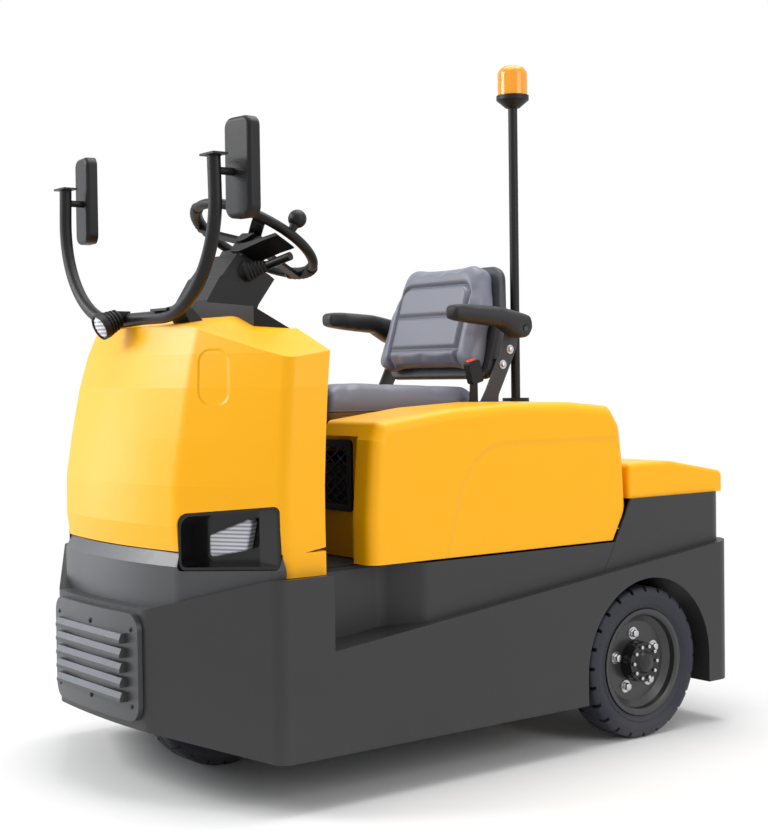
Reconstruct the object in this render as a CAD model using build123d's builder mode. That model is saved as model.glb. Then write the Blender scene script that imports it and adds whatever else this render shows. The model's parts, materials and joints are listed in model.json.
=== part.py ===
from build123d import *
from math import cos, radians, sin
import os

# Electric airport tow tractor: three wheels, one seat, the battery under a tilting hood.
# Millimetres, +Z up, the nose towards -Y and the driver's left side towards +X.
# The origin is on the floor, below the middle of the overall length and width.

os.makedirs("parts", exist_ok=True)

# Overall
tip_y = 910.0  # from the middle to the louvre ribs, and to the hitch jaws
half_width = 549.5
ledge_w = 23.5  # how far the skirts stand out beyond the upper walls
step_w = 79.0  # tread of the step, from the upper walls in to the riser
sill_z = 122.0  # underside of the skirts
wall = 6.0  # sheets and mouldings
seam = 1.0  # closed line between two body panels
lid_gap = 5.0  # open line round what tilts
loose = 0.3  # between pieces that only rest on each other

# Wheels
rear_axle_y = 500.0
rear_tyre_r = 207.5
rear_tyre_w = 105.0
rear_tyre_x = half_width - 62.0  # middle of the tread
front_axle_y = -540.0
front_tyre_r = 200.0
front_tyre_w = 96.0
bead_in = 12.0  # from the widest part of a sidewall in to the bead
flange_r = 145.4
barrel_r = 135.0
disc_x = 12.5  # outer face of the wheel disc, from the middle of the tread
disc_t = 8.0
hub_r = 56.0
hub_face_x = 48.5
hub_flange_r = 96.0
hub_cap_r = 32.0
hub_cap_h = 12.0
spindle_r = 20.0
axle_tube_r = 45.0
axle_end_x = rear_tyre_x - 35.5
drum_r = 72.0
arch_r = 240.0
arch_y = rear_axle_y + 12.0
arch_z = 200.0
arch_inner_x = rear_tyre_x - 71.5
liner_t = 5.0
front_bore_r = 125.0

# Skirts and the ledge line that climbs from the step to the tail
skirt_front_y = -549.0
tail_y = 851.0
tail_corner_r = 50.0
belt_z = 366.0  # at the front end of the skirts
belt_slope = 0.112
upper_x = half_width - ledge_w  # outer face of the upper side wall
upper_rear_y = 845.0
riser_x = upper_x - step_w  # outer face of the step's riser
riser_end_y = -335.0
flare_end_y = -255.0
flare_r = 40.0
floor_z = 545.0
floor_t = 8.0
floor_y = -488.0
floor_l = 306.0
floor_half = riser_x + 3.0
tail_top_z = 659.0
seam_foot_y = 356.0  # foot of the slanted seam in front of the tail panel
seam_head_y = 463.0

# Prow
nose_y = -872.0
nose_half = 228.0
prow_corner_y = -700.0
nose_top_z = 460.0
nose_bottom_z = 170.0
side_top_z = 543.0
apron_band_z = 562.0
apron_top_z = 594.0
apron_lean = 15.0
cowl_bottom_z = 597.0
roof_half = 220.0  # flat middle of the cowl's roof
roof_z = 1102.5  # at the front end of the roof's planes, where y is roof_y
roof_y = -950.0
roof_climb = 0.15
roof_fall = 0.35
dash_half = 300.0
dash_y = -600.0
cover_half = 220.0
cover_bottom_z = 190.0
cover_top_z = 448.0
cover_edge_y = -886.0
cover_middle_y = -898.0
louvre_count = 5
louvre_pitch = 35.0
louvre_half = 172.0
louvre_h = 24.0

# Hood and seat deck
hood_x = upper_x - wall
hood_bottom_z = 550.0
deck_z = 857.0
deck_half = 300.0
deck_rear_y = 236.0
front_panel_y = -350.0
front_panel_half = hood_x - 73.0
window_half = 357.0
window_bottom_z = 665.0
window_top_z = 844.0
hinge_y = 482.0
hinge_z = 770.0
hinge_pin_r = 5.0
hinge_barrel_r = 10.0
hinge_x = 230.0
knuckle_w = 40.0
cover_front_y = 464.0
cover_z = 754.0

# Steering
column_tilt = 30.2
steering_y = -403.0
steering_z = 1368.0
steering_r = 169.0
steering_rim_r = 13.0
fork_in = 57.0  # inner face of a fork leg
fork_t = 14.0
yoke_z = 412.0
bearing_z = 486.0
kingpin_r = 45.0

# Seat, in the plane of the back
seat_half = 240.0
seat_front_y = -340.0
seat_rear_y = 190.0
cushion_z = 892.0
cushion_top_z = 977.0
back_y = 234.0
back_z = 987.0
back_tilt = 17.7
back_top = 335.0
shell_t = 25.0
back_t = 62.0
bracket_x = 246.0
bracket_t = 6.0
arm_x = 290.0
arm_w = 56.0
arm_pivot_y = 278.0
arm_pivot_z = 1128.0

# Mirrors and beacon
frame_y = -757.0
tube_r = 16.0
frame_bar_z = 1153.0
frame_bend_r = 265.0
foot_y = -712.0
mirror_x = 400.0
mirror_y = -690.0
mirror_z = 1490.0
mirror_w = 96.0
mirror_h = 234.0
mirror_t = 32.0
mirror_yaw = 7.0
mirror_corner = 25.0
beacon_x = 200.0
beacon_y = 340.0
hood_top_z = 927.0
mast_top_z = 1755.0
beacon_lens_h = 84.0

# Planes that several pieces share
belt = Plane(origin=(0, skirt_front_y, belt_z), x_dir=(1, 0, 0), z_dir=(0, -belt_slope, 1))
under_belt = belt.offset(-wall)
seam_foot_z = belt_z + belt_slope * (seam_foot_y - skirt_front_y)
slant = Plane(
    origin=(0, seam_foot_y, seam_foot_z),
    x_dir=(1, 0, 0),
    z_dir=(0, tail_top_z - seam_foot_z, seam_foot_y - seam_head_y),
)
pieces = {}


def closed(points, radii):
    """Face inside straight sides, with a radius at each corner."""
    with BuildSketch() as face:
        with BuildLine():
            FilletPolyline(*points, radius=radii, close=True)
        make_face()
    return face.sketch


def prow_outline(centre_y, corner_x, corner_y, side_x, side_y, rear_y, inset=0.0):
    """Plan with a bowed front, angled quarters and straight sides."""
    with BuildSketch() as outline:
        with BuildLine():
            ThreePointArc((-corner_x, corner_y), (0, centre_y), (corner_x, corner_y))
            Polyline(
                (corner_x, corner_y),
                (side_x, side_y),
                (side_x, rear_y),
                (-side_x, rear_y),
                (-side_x, side_y),
                (-corner_x, corner_y),
            )
        make_face()
        fillet(outline.vertices().group_by(Axis.Y)[1], 40)
        fillet(outline.vertices().group_by(Axis.Y)[0], 60)
        if inset:
            offset(amount=-inset, kind=Kind.INTERSECTION)
    return outline.sketch


def mirrored(part):
    """The same piece on the right side."""
    with BuildPart() as right:
        mirror(part, about=Plane.YZ)
    return right


def pair(part):
    """Left and right copies in one node."""
    with BuildPart() as both:
        add(part)
        mirror(part, about=Plane.YZ)
    return both


# Wheels, about the X axis with the tread's middle at the origin
def tyre_shape(radius, width, bore):
    half = width / 2
    with BuildPart() as tyre:
        with BuildSketch():
            with BuildLine():
                Polyline(
                    (0, bore),
                    (half - bead_in, bore),
                    (half - bead_in, bore + 11),
                    (half, radius - 24),
                    (half - 9, radius),
                    (0, radius),
                )
                mirror(about=Plane.YZ)
            make_face()
        revolve(axis=Axis.X)
    return tyre.part


rear_tyre = tyre_shape(rear_tyre_r, rear_tyre_w, barrel_r)
flange_in = rear_tyre_w / 2 - bead_in + loose
with BuildPart() as rear_rim:
    with BuildSketch():
        with BuildLine():
            Polyline(
                (-flange_in, barrel_r - loose),
                (flange_in, barrel_r - loose),
                (flange_in, flange_r),
                (flange_in + 5, flange_r),
                (flange_in + 5, barrel_r),
                (flange_in, barrel_r - wall),
                (disc_x + 14, barrel_r - wall - 3),
                (disc_x, barrel_r - 26),
                (disc_x, hub_r + loose),
                (disc_x - disc_t, hub_r + loose),
                (disc_x - disc_t, barrel_r - 24),
                (disc_x - 2, barrel_r - wall - 3),
                (-flange_in, barrel_r - wall),
                (-flange_in - 5, barrel_r),
                (-flange_in - 5, flange_r),
                (-flange_in, flange_r),
                close=True,
            )
        make_face()
    revolve(axis=Axis.X)

hub_back_x = axle_end_x + 2 * loose - rear_tyre_x
with BuildPart() as rear_hub:
    with BuildSketch():
        with BuildLine():
            Polyline(
                (hub_back_x, spindle_r + loose),
                (hub_back_x, hub_r - 8),
                (disc_x - disc_t - 12, hub_r - 8),
                (disc_x - disc_t - 12, hub_flange_r),
                (disc_x - disc_t, hub_flange_r),
                (disc_x - disc_t, hub_r),
                (hub_face_x - 10, hub_r),
                (hub_face_x - 10, hub_r - 2),
                (hub_face_x, hub_r - 2),
                (hub_face_x, hub_cap_r),
                (hub_face_x + hub_cap_h * 0.7, hub_cap_r * 0.8),
                (hub_face_x + hub_cap_h, hub_cap_r * 0.35),
                (hub_face_x + hub_cap_h, 0),
                (0, 0),
                (0, spindle_r + loose),
                close=True,
            )
        make_face()
    revolve(axis=Axis.X)

for side, name in ((1, "left"), (-1, "right")):
    place = Location((side * rear_tyre_x, rear_axle_y, rear_tyre_r), (0, 0, 0 if side > 0 else 180))
    for label, shape in (("tyre", rear_tyre), ("rim", rear_rim.part), ("hub", rear_hub.part)):
        with BuildPart() as wheel_piece:
            add(shape.moved(place))
        pieces[f"rear_{label}_{name}"] = wheel_piece

with BuildPart() as front_tyre:
    add(tyre_shape(front_tyre_r, front_tyre_w, front_bore_r).moved(Location((0, front_axle_y, front_tyre_r))))
pieces["front_tyre"] = front_tyre

front_rim_half = front_tyre_w / 2 - bead_in
with BuildPart() as front_rim:
    with BuildSketch():
        with BuildLine():
            Polyline(
                (0, spindle_r + loose),
                (fork_in - 2 * loose, spindle_r + loose),
                (fork_in - 2 * loose, 44),
                (14, 50),
                (14, front_bore_r - 14),
                (front_rim_half, front_bore_r - 6),
                (front_rim_half, front_bore_r - loose),
                (0, front_bore_r - loose),
            )
            mirror(about=Plane.YZ)
        make_face()
    revolve(axis=Axis.X)
front_rim.part.locate(Location((0, front_axle_y, front_tyre_r)))
pieces["front_rim"] = front_rim

# Steering fork: two legs, a yoke, the turntable and the kingpin
fork_out = fork_in + fork_t
with BuildPart() as steering_fork:
    for side in (-1, 1):
        start = fork_in if side > 0 else -fork_out
        with BuildSketch(Plane.YZ.offset(start)):
            add(
                closed(
                    (
                        (front_axle_y - 42, front_tyre_r - 42),
                        (front_axle_y + 42, front_tyre_r - 42),
                        (front_axle_y + 42, front_tyre_r + 40),
                        (front_axle_y + 78, yoke_z + 20),
                        (front_axle_y - 78, yoke_z + 20),
                        (front_axle_y - 42, front_tyre_r + 40),
                    ),
                    (41, 41, 20, 0, 0, 20),
                )
            )
        extrude(amount=fork_t)
    with Locations((0, front_axle_y, yoke_z + 12)):
        Box(2 * fork_out, 156, 24)
    with Locations((0, front_axle_y, yoke_z + 24)):
        Cylinder(104, bearing_z - 2 * loose - yoke_z - 24, align=(Align.CENTER, Align.CENTER, Align.MIN))
    with Locations((0, front_axle_y, bearing_z - 2)):
        Cylinder(kingpin_r, 44, align=(Align.CENTER, Align.CENTER, Align.MIN))
    with Locations(Location((0, front_axle_y, front_tyre_r), (0, 90, 0))):
        Cylinder(spindle_r, 2 * fork_out + 12)
pieces["steering_fork"] = steering_fork

# Chassis: two channels, cross members, the bearing plate and the tail plate
rail_w = 50.0
rail_x = arch_inner_x - 36.0 - rail_w / 2
rail_h = 120.0
rail_t = 8.0
rail_z = 300.0
rail_front_y = -760.0
battery_z = 310.0
well_rear_y = -318.0
tail_plate_t = 25.0
tail_plate_y = tail_y - tail_plate_t
tail_plate_z = 519.0
plate_half = rail_x - 17.0
hitch_window_half = 52.0
hitch_z = 330.0
hitch_window_h = 136.0
with BuildPart() as chassis_frame:
    with BuildSketch(Plane.XZ.offset(-rail_front_y)) as rails:
        with Locations((rail_x, rail_z + rail_h / 2)):
            Rectangle(rail_w, rail_h)
        with Locations((rail_x + rail_t, rail_z + rail_h / 2)):
            Rectangle(rail_w, rail_h - 2 * rail_t, mode=Mode.SUBTRACT)
        mirror(about=Plane.YZ)
    extrude(amount=rail_front_y - tail_plate_y)
    for cross_y in (well_rear_y, 300.0, 690.0):
        with Locations((0, cross_y, rail_z + rail_h / 2)):
            Box(2 * rail_x - rail_w, rail_t, rail_h)
    for tray_y in (-240.0, 170.0):
        with Locations((0, tray_y, rail_z)):
            Box(
                2 * rail_x - rail_w,
                60,
                battery_z - loose - rail_z,
                align=(Align.CENTER, Align.CENTER, Align.MIN),
            )
    for arm_y in (-470.0, -60.0, 215.0):
        for side in (-1, 1):
            arm_in = rail_x + rail_w / 2 - rail_t
            arm_end = half_width - wall
            with Locations((side * (arm_in + arm_end) / 2, arm_y, rail_z + 12)):
                Box(arm_end - arm_in, 60, rail_t)
    for side in (-1, 1):
        with Locations((side * (plate_half - 4), (-640 + well_rear_y) / 2, (rail_z + bearing_z) / 2)):
            Box(rail_t, well_rear_y + 640, bearing_z - rail_z)
        with Locations((side * rail_x, rear_axle_y, (rail_z + rear_tyre_r) / 2)):
            Box(rail_w, 96, rail_z - rear_tyre_r)
    with Locations((0, (-640 + well_rear_y) / 2, bearing_z + 7)):
        Box(2 * plate_half, well_rear_y + 640, 14)
    for rib_y in (-636.0, well_rear_y - 4):
        with Locations((0, rib_y, (bearing_z + floor_z - floor_t) / 2)):
            Box(2 * plate_half, 8, floor_z - floor_t - bearing_z)
    with Locations((0, front_axle_y, bearing_z)):
        Cylinder(82, 38, align=(Align.CENTER, Align.CENTER, Align.MIN))
        Cylinder(kingpin_r + loose, 200, mode=Mode.SUBTRACT)
    with BuildSketch(Plane.XZ.offset(-tail_plate_y)):
        with Locations((0, (sill_z + 8 + tail_plate_z) / 2)):
            Rectangle(2 * (arch_inner_x + 2), tail_plate_z - sill_z - 8)
        with Locations((0, hitch_z)):
            Rectangle(2 * hitch_window_half, hitch_window_h, mode=Mode.SUBTRACT)
    extrude(amount=-tail_plate_t)
    with Locations(Location((0, rear_axle_y, rear_tyre_r), (0, 90, 0))):
        Cylinder(axle_tube_r + loose, 900, mode=Mode.SUBTRACT)
pieces["chassis_frame"] = chassis_frame

# Battery block between the rails
with BuildPart() as battery:
    with Locations((0, -30, battery_z)):
        Box(2 * rail_x - rail_w - 60, 520, 470, align=(Align.CENTER, Align.CENTER, Align.MIN))
    chamfer(battery.edges().filter_by(Axis.Z), 12)
pieces["battery"] = battery

# Drive axle: tube, drums, gearbox and the motor in front of it
with BuildPart() as drive_axle:
    with Locations(Location((0, rear_axle_y, rear_tyre_r), (0, 90, 0))):
        Cylinder(axle_tube_r, 2 * axle_end_x - 60)
        Cylinder(spindle_r, 2 * rear_tyre_x - 20)
        Cylinder(100, 150)
    for side in (-1, 1):
        with Locations(Location((side * (axle_end_x - 24), rear_axle_y, rear_tyre_r), (0, 90, 0))):
            Cylinder(drum_r, 48)
    with Locations((0, rear_axle_y - 90, rear_tyre_r + 5)):
        Box(170, 110, 180)
    with Locations(Location((0, rear_axle_y - 140, rear_tyre_r + 5), (90, 0, 0))):
        Cylinder(82, 210, align=(Align.CENTER, Align.CENTER, Align.MIN))
        Cylinder(86, 16, align=(Align.CENTER, Align.CENTER, Align.MIN))
    with Locations(Location((0, rear_axle_y - 350, rear_tyre_r + 5), (90, 0, 0))):
        Cylinder(60, 22, align=(Align.CENTER, Align.CENTER, Align.MIN))
pieces["drive_axle"] = drive_axle

# Side skirts: sill panel, ledge, upper wall, step riser and wheel arch
skirt_in = half_width - wall
upper_in = upper_x - wall
riser_in = riser_x - wall
ledge_inner = (
    (arch_inner_x + 2, upper_rear_y - wall),
    (upper_in, upper_rear_y - wall),
    (upper_in, flare_end_y),
    (riser_in, riser_end_y),
    (riser_in, skirt_front_y),
)
skirt_plan = closed(
    ((half_width, skirt_front_y), (half_width, tail_y), (arch_inner_x + 2, tail_y), *ledge_inner),
    (0, tail_corner_r, 0, 0, tail_corner_r - 6, flare_r, flare_r, 0),
)
void_plan = closed(
    ((skirt_in, skirt_front_y), (skirt_in, tail_y - wall), (arch_inner_x + 2, tail_y - wall), *ledge_inner),
    (0, tail_corner_r - wall, 0, 0, tail_corner_r - 6, flare_r, flare_r, 0),
)
upper_plan = closed(
    (
        (riser_x, skirt_front_y),
        (riser_x, riser_end_y - 3),
        (upper_x, flare_end_y - 3),
        (upper_x, seam_head_y),
        (upper_in, seam_head_y),
        (upper_in, flare_end_y),
        (riser_in, riser_end_y),
        (riser_in, skirt_front_y),
    ),
    (0, flare_r, flare_r, 0, 0, flare_r, flare_r, 0),
)


with BuildPart() as skirt_void:
    with BuildSketch(Plane.XY.offset(sill_z - 1)):
        add(void_plan)
    extrude(amount=600)
    split(bisect_by=under_belt, keep=Keep.BOTTOM)

with BuildPart() as upper_wall:
    with BuildSketch(Plane.XY.offset(belt_z - wall)):
        add(upper_plan)
    extrude(amount=floor_z - belt_z + wall)
    split(bisect_by=under_belt, keep=Keep.TOP)
    split(bisect_by=slant, keep=Keep.BOTTOM)

with BuildPart() as side_skirt_left:
    with BuildSketch(Plane.XY.offset(sill_z)):
        add(skirt_plan)
    extrude(amount=500)
    split(bisect_by=belt, keep=Keep.BOTTOM)
    add(skirt_void.part, mode=Mode.SUBTRACT)
    add(upper_wall.part)
    with BuildSketch(Plane.YZ.offset(arch_inner_x)):
        with Locations((arch_y, arch_z)):
            Circle(arch_r + liner_t)
        with Locations((arch_y, (arch_z + sill_z) / 2)):
            Rectangle(2 * (arch_r + liner_t), arch_z - sill_z)
        with Locations((arch_y, sill_z - arch_r)):
            Rectangle(3 * arch_r, 2 * arch_r, mode=Mode.SUBTRACT)
    extrude(amount=skirt_in - arch_inner_x)
    with BuildSketch(Plane.YZ.offset(arch_inner_x - 1)):
        with Locations((arch_y, arch_z)):
            Circle(arch_r)
        with Locations((arch_y, arch_z / 2)):
            Rectangle(2 * arch_r, arch_z)
    extrude(amount=half_width, mode=Mode.SUBTRACT)
    with Locations((0, floor_y, floor_z)):
        Box(2 * (floor_half + loose), floor_l + 2 * loose, 2 * floor_t, mode=Mode.SUBTRACT)
pieces["side_skirt_left"] = side_skirt_left
pieces["side_skirt_right"] = mirrored(side_skirt_left.part)

# Tail panel: upper walls behind the slanted seam and the rear face
with BuildPart() as tail_panel:
    with BuildSketch(Plane.XY.offset(belt_z)):
        add(
            closed(
                ((-upper_x, 300), (upper_x, 300), (upper_x, upper_rear_y), (-upper_x, upper_rear_y)),
                (0, 0, tail_corner_r, tail_corner_r),
            )
        )
        add(
            closed(
                (
                    (-upper_in, 290),
                    (upper_in, 290),
                    (upper_in, upper_rear_y - wall),
                    (-upper_in, upper_rear_y - wall),
                ),
                (0, 0, tail_corner_r - wall, tail_corner_r - wall),
            ),
            mode=Mode.SUBTRACT,
        )
    extrude(amount=tail_top_z - belt_z)
    with BuildSketch(Plane.XY.offset(tail_top_z - wall)):
        for side in (-1, 1):
            with Locations((side * (upper_in - 15), (seam_head_y + upper_rear_y) / 2)):
                Rectangle(34, upper_rear_y - seam_head_y - 2 * tail_corner_r)
        with Locations((0, upper_rear_y - wall - 12)):
            Rectangle(2 * hood_x - 2 * tail_corner_r, 28)
    extrude(amount=wall)
    split(bisect_by=belt, keep=Keep.TOP)
    split(bisect_by=slant.offset(seam), keep=Keep.TOP)
pieces["tail_panel"] = tail_panel

# Tail cover: a low lid that slopes down to the rear
cover_side = (
    (cover_front_y, tail_top_z),
    (cover_front_y, cover_z),
    (635, cover_z),
    (849, cover_z - 37),
    (849, tail_top_z),
)
with BuildPart() as tail_cover:
    with BuildSketch(Plane.YZ):
        add(closed(cover_side, (0, 14, 60, 18, 0)))
    extrude(amount=hood_x, both=True)
    fillet(tail_cover.edges().filter_by(Axis.X, reverse=True).group_by(Axis.Z)[-1], 12)
    with BuildSketch(Plane.YZ):
        add(
            closed(
                (
                    (cover_front_y + wall, tail_top_z - 1),
                    (cover_front_y + wall, cover_z - wall),
                    (635, cover_z - wall),
                    (849 - wall, cover_z - 37 - wall),
                    (849 - wall, tail_top_z - 1),
                ),
                (0, 8, 60, 12, 0),
            )
        )
    extrude(amount=hood_x - wall, both=True, mode=Mode.SUBTRACT)
pieces["tail_cover"] = tail_cover

# Tail lamps on the rear face
with BuildPart() as tail_lamp:
    with BuildSketch(Plane.XZ.offset(-upper_rear_y)):
        with Locations((390, 590)):
            RectangleRounded(110, 52, 12)
    extrude(amount=-16)
pieces["tail_lamps"] = pair(tail_lamp.part)

# Tow hitch: flange on the tail plate and three jaws round the pin
pin_y = 880.0
pin_r = 12.5
pin_bore_r = 12.58
jaw_half = 44.0
jaw_t = 14.0
jaw_pitch = 54.0
with BuildPart() as tow_hitch:
    with BuildSketch(Plane.XZ.offset(-tail_y)):
        with Locations((0, hitch_z)):
            RectangleRounded(176, 216, 14)
            Rectangle(2 * jaw_half, 2 * jaw_pitch + jaw_t + 50, mode=Mode.SUBTRACT)
            with GridLocations(140, 180, 2, 2):
                Circle(7, mode=Mode.SUBTRACT)
    extrude(amount=-10)
    with Locations((0, 800, hitch_z)):
        Box(2 * jaw_half, 12, 2 * jaw_pitch + jaw_t, align=(Align.CENTER, Align.MIN, Align.CENTER))
    for level in (-1, 0, 1):
        with BuildSketch(Plane.XY.offset(hitch_z + level * jaw_pitch - jaw_t / 2)):
            add(
                closed(
                    ((-jaw_half, 800), (jaw_half, 800), (jaw_half, tip_y), (-jaw_half, tip_y)),
                    (0, 0, jaw_half - 1, jaw_half - 1),
                )
            )
            with Locations((0, pin_y)):
                Circle(pin_bore_r, mode=Mode.SUBTRACT)
        extrude(amount=jaw_t)
pieces["tow_hitch"] = tow_hitch

jaw_top = hitch_z + jaw_pitch + jaw_t / 2
jaw_bottom = hitch_z - jaw_pitch - jaw_t / 2
with BuildPart() as hitch_pin:
    with Locations((0, pin_y, jaw_bottom - 16)):
        Cylinder(pin_r, jaw_top - jaw_bottom + 36, align=(Align.CENTER, Align.CENTER, Align.MIN))
    with Locations((0, pin_y, jaw_top + loose)):
        Cylinder(18, 8, align=(Align.CENTER, Align.CENTER, Align.MIN))
pieces["hitch_pin"] = hitch_pin

# Front bumper: a hollow prow whose top ledge climbs outwards
bumper_t = 8.0
bumper_profile = (
    (-half_width, side_top_z),
    (-hood_x, side_top_z - 2),
    (-nose_half, nose_top_z),
    (nose_half, nose_top_z),
    (hood_x, side_top_z - 2),
    (half_width, side_top_z),
)
bumper_bottom = ((half_width, sill_z), (nose_half, nose_bottom_z), (-nose_half, nose_bottom_z), (-half_width, sill_z))
niche_x = riser_x - 2.0
niche_y = -664.0

bumper_plan = (nose_y - 10, nose_half, nose_y, half_width, prow_corner_y, skirt_front_y)
with BuildPart() as bumper_hollow:
    with BuildSketch(Plane.XY.offset(sill_z - 20)):
        add(prow_outline(*bumper_plan, bumper_t))
    extrude(amount=side_top_z)
    with BuildSketch(Plane.XZ.offset(-skirt_front_y - 20)):
        Polygon(
            (-half_width, side_top_z - bumper_t),
            (-hood_x, side_top_z - 2 - bumper_t),
            (-nose_half, nose_top_z - bumper_t),
            (nose_half, nose_top_z - bumper_t),
            (hood_x, side_top_z - 2 - bumper_t),
            (half_width, side_top_z - bumper_t),
            (half_width, 0),
            (-half_width, 0),
            align=None,
        )
    extrude(amount=500, mode=Mode.INTERSECT)

with BuildPart() as front_bumper:
    with BuildSketch(Plane.XY.offset(sill_z)):
        add(prow_outline(*bumper_plan))
    extrude(amount=side_top_z - sill_z)
    with BuildSketch(Plane.XZ.offset(-skirt_front_y - 20)):
        Polygon(*bumper_profile, *bumper_bottom, align=None)
    extrude(amount=500, mode=Mode.INTERSECT)
    add(bumper_hollow.part, mode=Mode.SUBTRACT)
    with Locations((0, -600, 0)):
        Box(2 * niche_x, 180, 1300, mode=Mode.SUBTRACT)
pieces["front_bumper"] = front_bumper

# Louvre cover on the nose, its ribs the foremost thing on the vehicle
with BuildPart() as louvre_cover:
    with BuildSketch(Plane.XY.offset(cover_bottom_z - 10)):
        with BuildLine():
            front_end = (cover_half + 10, cover_edge_y + 1.1)
            back_end = (cover_half + 10, nose_y - 0.2)
            front = ThreePointArc((-front_end[0], front_end[1]), (0, cover_middle_y), front_end)
            back = ThreePointArc((-back_end[0], back_end[1]), (0, nose_y - 10.3), back_end)
            Line(front @ 0, back @ 0)
            Line(front @ 1, back @ 1)
        make_face()
    extrude(amount=cover_top_z - cover_bottom_z + 20)
    with BuildSketch(Plane.XZ.offset(800)):
        with Locations((0, (cover_bottom_z + cover_top_z) / 2)):
            RectangleRounded(2 * cover_half, cover_top_z - cover_bottom_z, 40)
    extrude(amount=150, mode=Mode.INTERSECT)
    for k in range(louvre_count):
        level = 389.0 - k * louvre_pitch
        with BuildSketch(Plane.YZ):
            Polygon(
                (cover_edge_y, level + louvre_h / 2),
                (-tip_y + 6, level + louvre_h / 2 - 2),
                (-tip_y, level - 4),
                (-tip_y, level - louvre_h / 2),
                (-tip_y + 4, level - louvre_h / 2 - 1),
                (cover_edge_y, level - louvre_h / 2 - 1),
                align=None,
            )
        extrude(amount=louvre_half, both=True)
pieces["louvre_cover"] = louvre_cover

# Headlamp pods, one in each quarter of the prow
pod_left = 3.0
pod_right = 262.0
pod_depth = 75.0
pod_plane = Plane(origin=(285, -810, 0), x_dir=(0.8436, 0.5370, 0), z_dir=(0.5370, -0.8436, 0))


def pod_block(grow, front, back):
    """Outline of a pod, pushed out or in, from one depth to another."""
    grown = (
        (pod_left - grow, 553 - grow),
        (pod_right + 3 + grow, 563 - grow),
        (pod_right + grow, 707 + grow),
        (pod_left - grow, 685 + grow),
    )
    with BuildPart() as block:
        with BuildSketch(pod_plane.offset(front)):
            add(closed(grown, (12, 12, 14, 28)))
        extrude(amount=back - front)
    return block.part


pod_space = pod_block(1.0, 30, -pod_depth - 1)
with BuildPart() as pod_cheek:
    with BuildSketch(Plane.XY.offset(540)):
        with Locations(Location((285, -810, 0), (0, 0, 32.48))):
            Polygon(
                (198, 28),
                (pod_right - 4, 2),
                (pod_right - 4, pod_depth - 4),
                (198, pod_depth - 4),
                align=None,
            )
    extrude(amount=200)
    add(pod_block(-5, 3, 5 - pod_depth), mode=Mode.INTERSECT)
with BuildPart() as pod:
    add(pod_block(0, 3, -pod_depth))
    add(pod_block(-7, 4, 7 - pod_depth), mode=Mode.SUBTRACT)
    add(pod_cheek.part)
pieces["headlamp_pods"] = pair(pod.part)
with BuildPart() as lens:
    with BuildSketch(pod_plane.offset(7.3 - pod_depth)):
        add(closed(((66, 582), (162, 600), (178, 677), (66, 634)), (8, 8, 8, 8)))
    extrude(amount=34)
    chamfer(lens.faces().sort_by(Axis.Y)[0].edges(), 3)
pieces["headlamp_lenses"] = pair(lens.part)

# Apron between the bumper and the cowl
with BuildPart() as apron_hollow:
    with BuildSketch(Plane.XY.offset(nose_top_z - 40)):
        add(prow_outline(-852, 295, -819, 530, -668, -520, wall))
    extrude(amount=apron_band_z - nose_top_z + 40)
    with BuildSketch(Plane.XY.offset(apron_band_z)):
        add(prow_outline(-852, 295, -819, 530, -668, -520, wall))
    with BuildSketch(Plane.XY.offset(apron_top_z + 1)):
        add(prow_outline(-852, 295, -819, 530, -668, -520, wall + apron_lean))
    loft(ruled=True)

with BuildPart() as nose_apron:
    with BuildSketch(Plane.XY.offset(nose_top_z - 20)):
        add(prow_outline(-852, 295, -819, 530, -668, -540))
    extrude(amount=apron_band_z - nose_top_z + 20)
    with BuildSketch(Plane.XY.offset(apron_band_z)):
        add(prow_outline(-852, 295, -819, 530, -668, -540))
    with BuildSketch(Plane.XY.offset(apron_top_z)):
        add(prow_outline(-852, 295, -819, 530, -668, -540, apron_lean))
    loft(ruled=True)
    add(apron_hollow.part, mode=Mode.SUBTRACT)
    with Locations((0, -600, 500)):
        Box(1200, 130, 400, mode=Mode.SUBTRACT)
    with BuildSketch(Plane.XZ.offset(500)):
        Polygon(*bumper_profile, (half_width, 300), (-half_width, 300), align=None)
    extrude(amount=450, mode=Mode.SUBTRACT)
    add(pod_space, mode=Mode.SUBTRACT)
    mirror(pod_space, about=Plane.YZ, mode=Mode.SUBTRACT)
pieces["nose_apron"] = nose_apron

# Cowl: the yellow shell in front of the driver
cowl_rows = (
    # height, then the plan: middle, corner x and y, side x and y, rear
    (cowl_bottom_z, -838, 285, -812, hood_x, -660, -551),
    (655, -846, 286, -820, hood_x, -664, -552),
    (750, -845, 286, -819, hood_x, -662, -552),
    (860, -829, 284, -802, hood_x, -655, -547),
    (980, -806, 280, -779, hood_x - 2, -645, -538),
    (1060, -784, 272, -758, hood_x - 8, -636, -526),
    (1175, -742, 250, -716, hood_x - 28, -615, -500),
    (1200, -733, 245, -707, hood_x - 32, -610, -494),
)


def cowl_shape(inset, rear):
    """The cowl's lofted block under its roof, pushed in, with its rear moved."""
    with BuildPart() as block:
        for z, *plan, rear_y in cowl_rows:
            with BuildSketch(Plane.XY.offset(z)):
                add(prow_outline(*plan, rear_y + rear, inset))
        loft(ruled=True)
        eaves_z = roof_z - roof_fall * (half_width - roof_half)
        roof = (
            (-half_width, cowl_bottom_z - 50),
            (half_width, cowl_bottom_z - 50),
            (half_width, eaves_z - inset),
            (roof_half, roof_z - inset),
            (-roof_half, roof_z - inset),
            (-half_width, eaves_z - inset),
        )
        with BuildSketch(Plane.XZ.offset(-roof_y)):
            add(closed(roof, (0, 0, 0, 150, 150, 0)))
        extrude(amount=560, dir=(0, 1, roof_climb), mode=Mode.INTERSECT)
    return block.part


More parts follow.
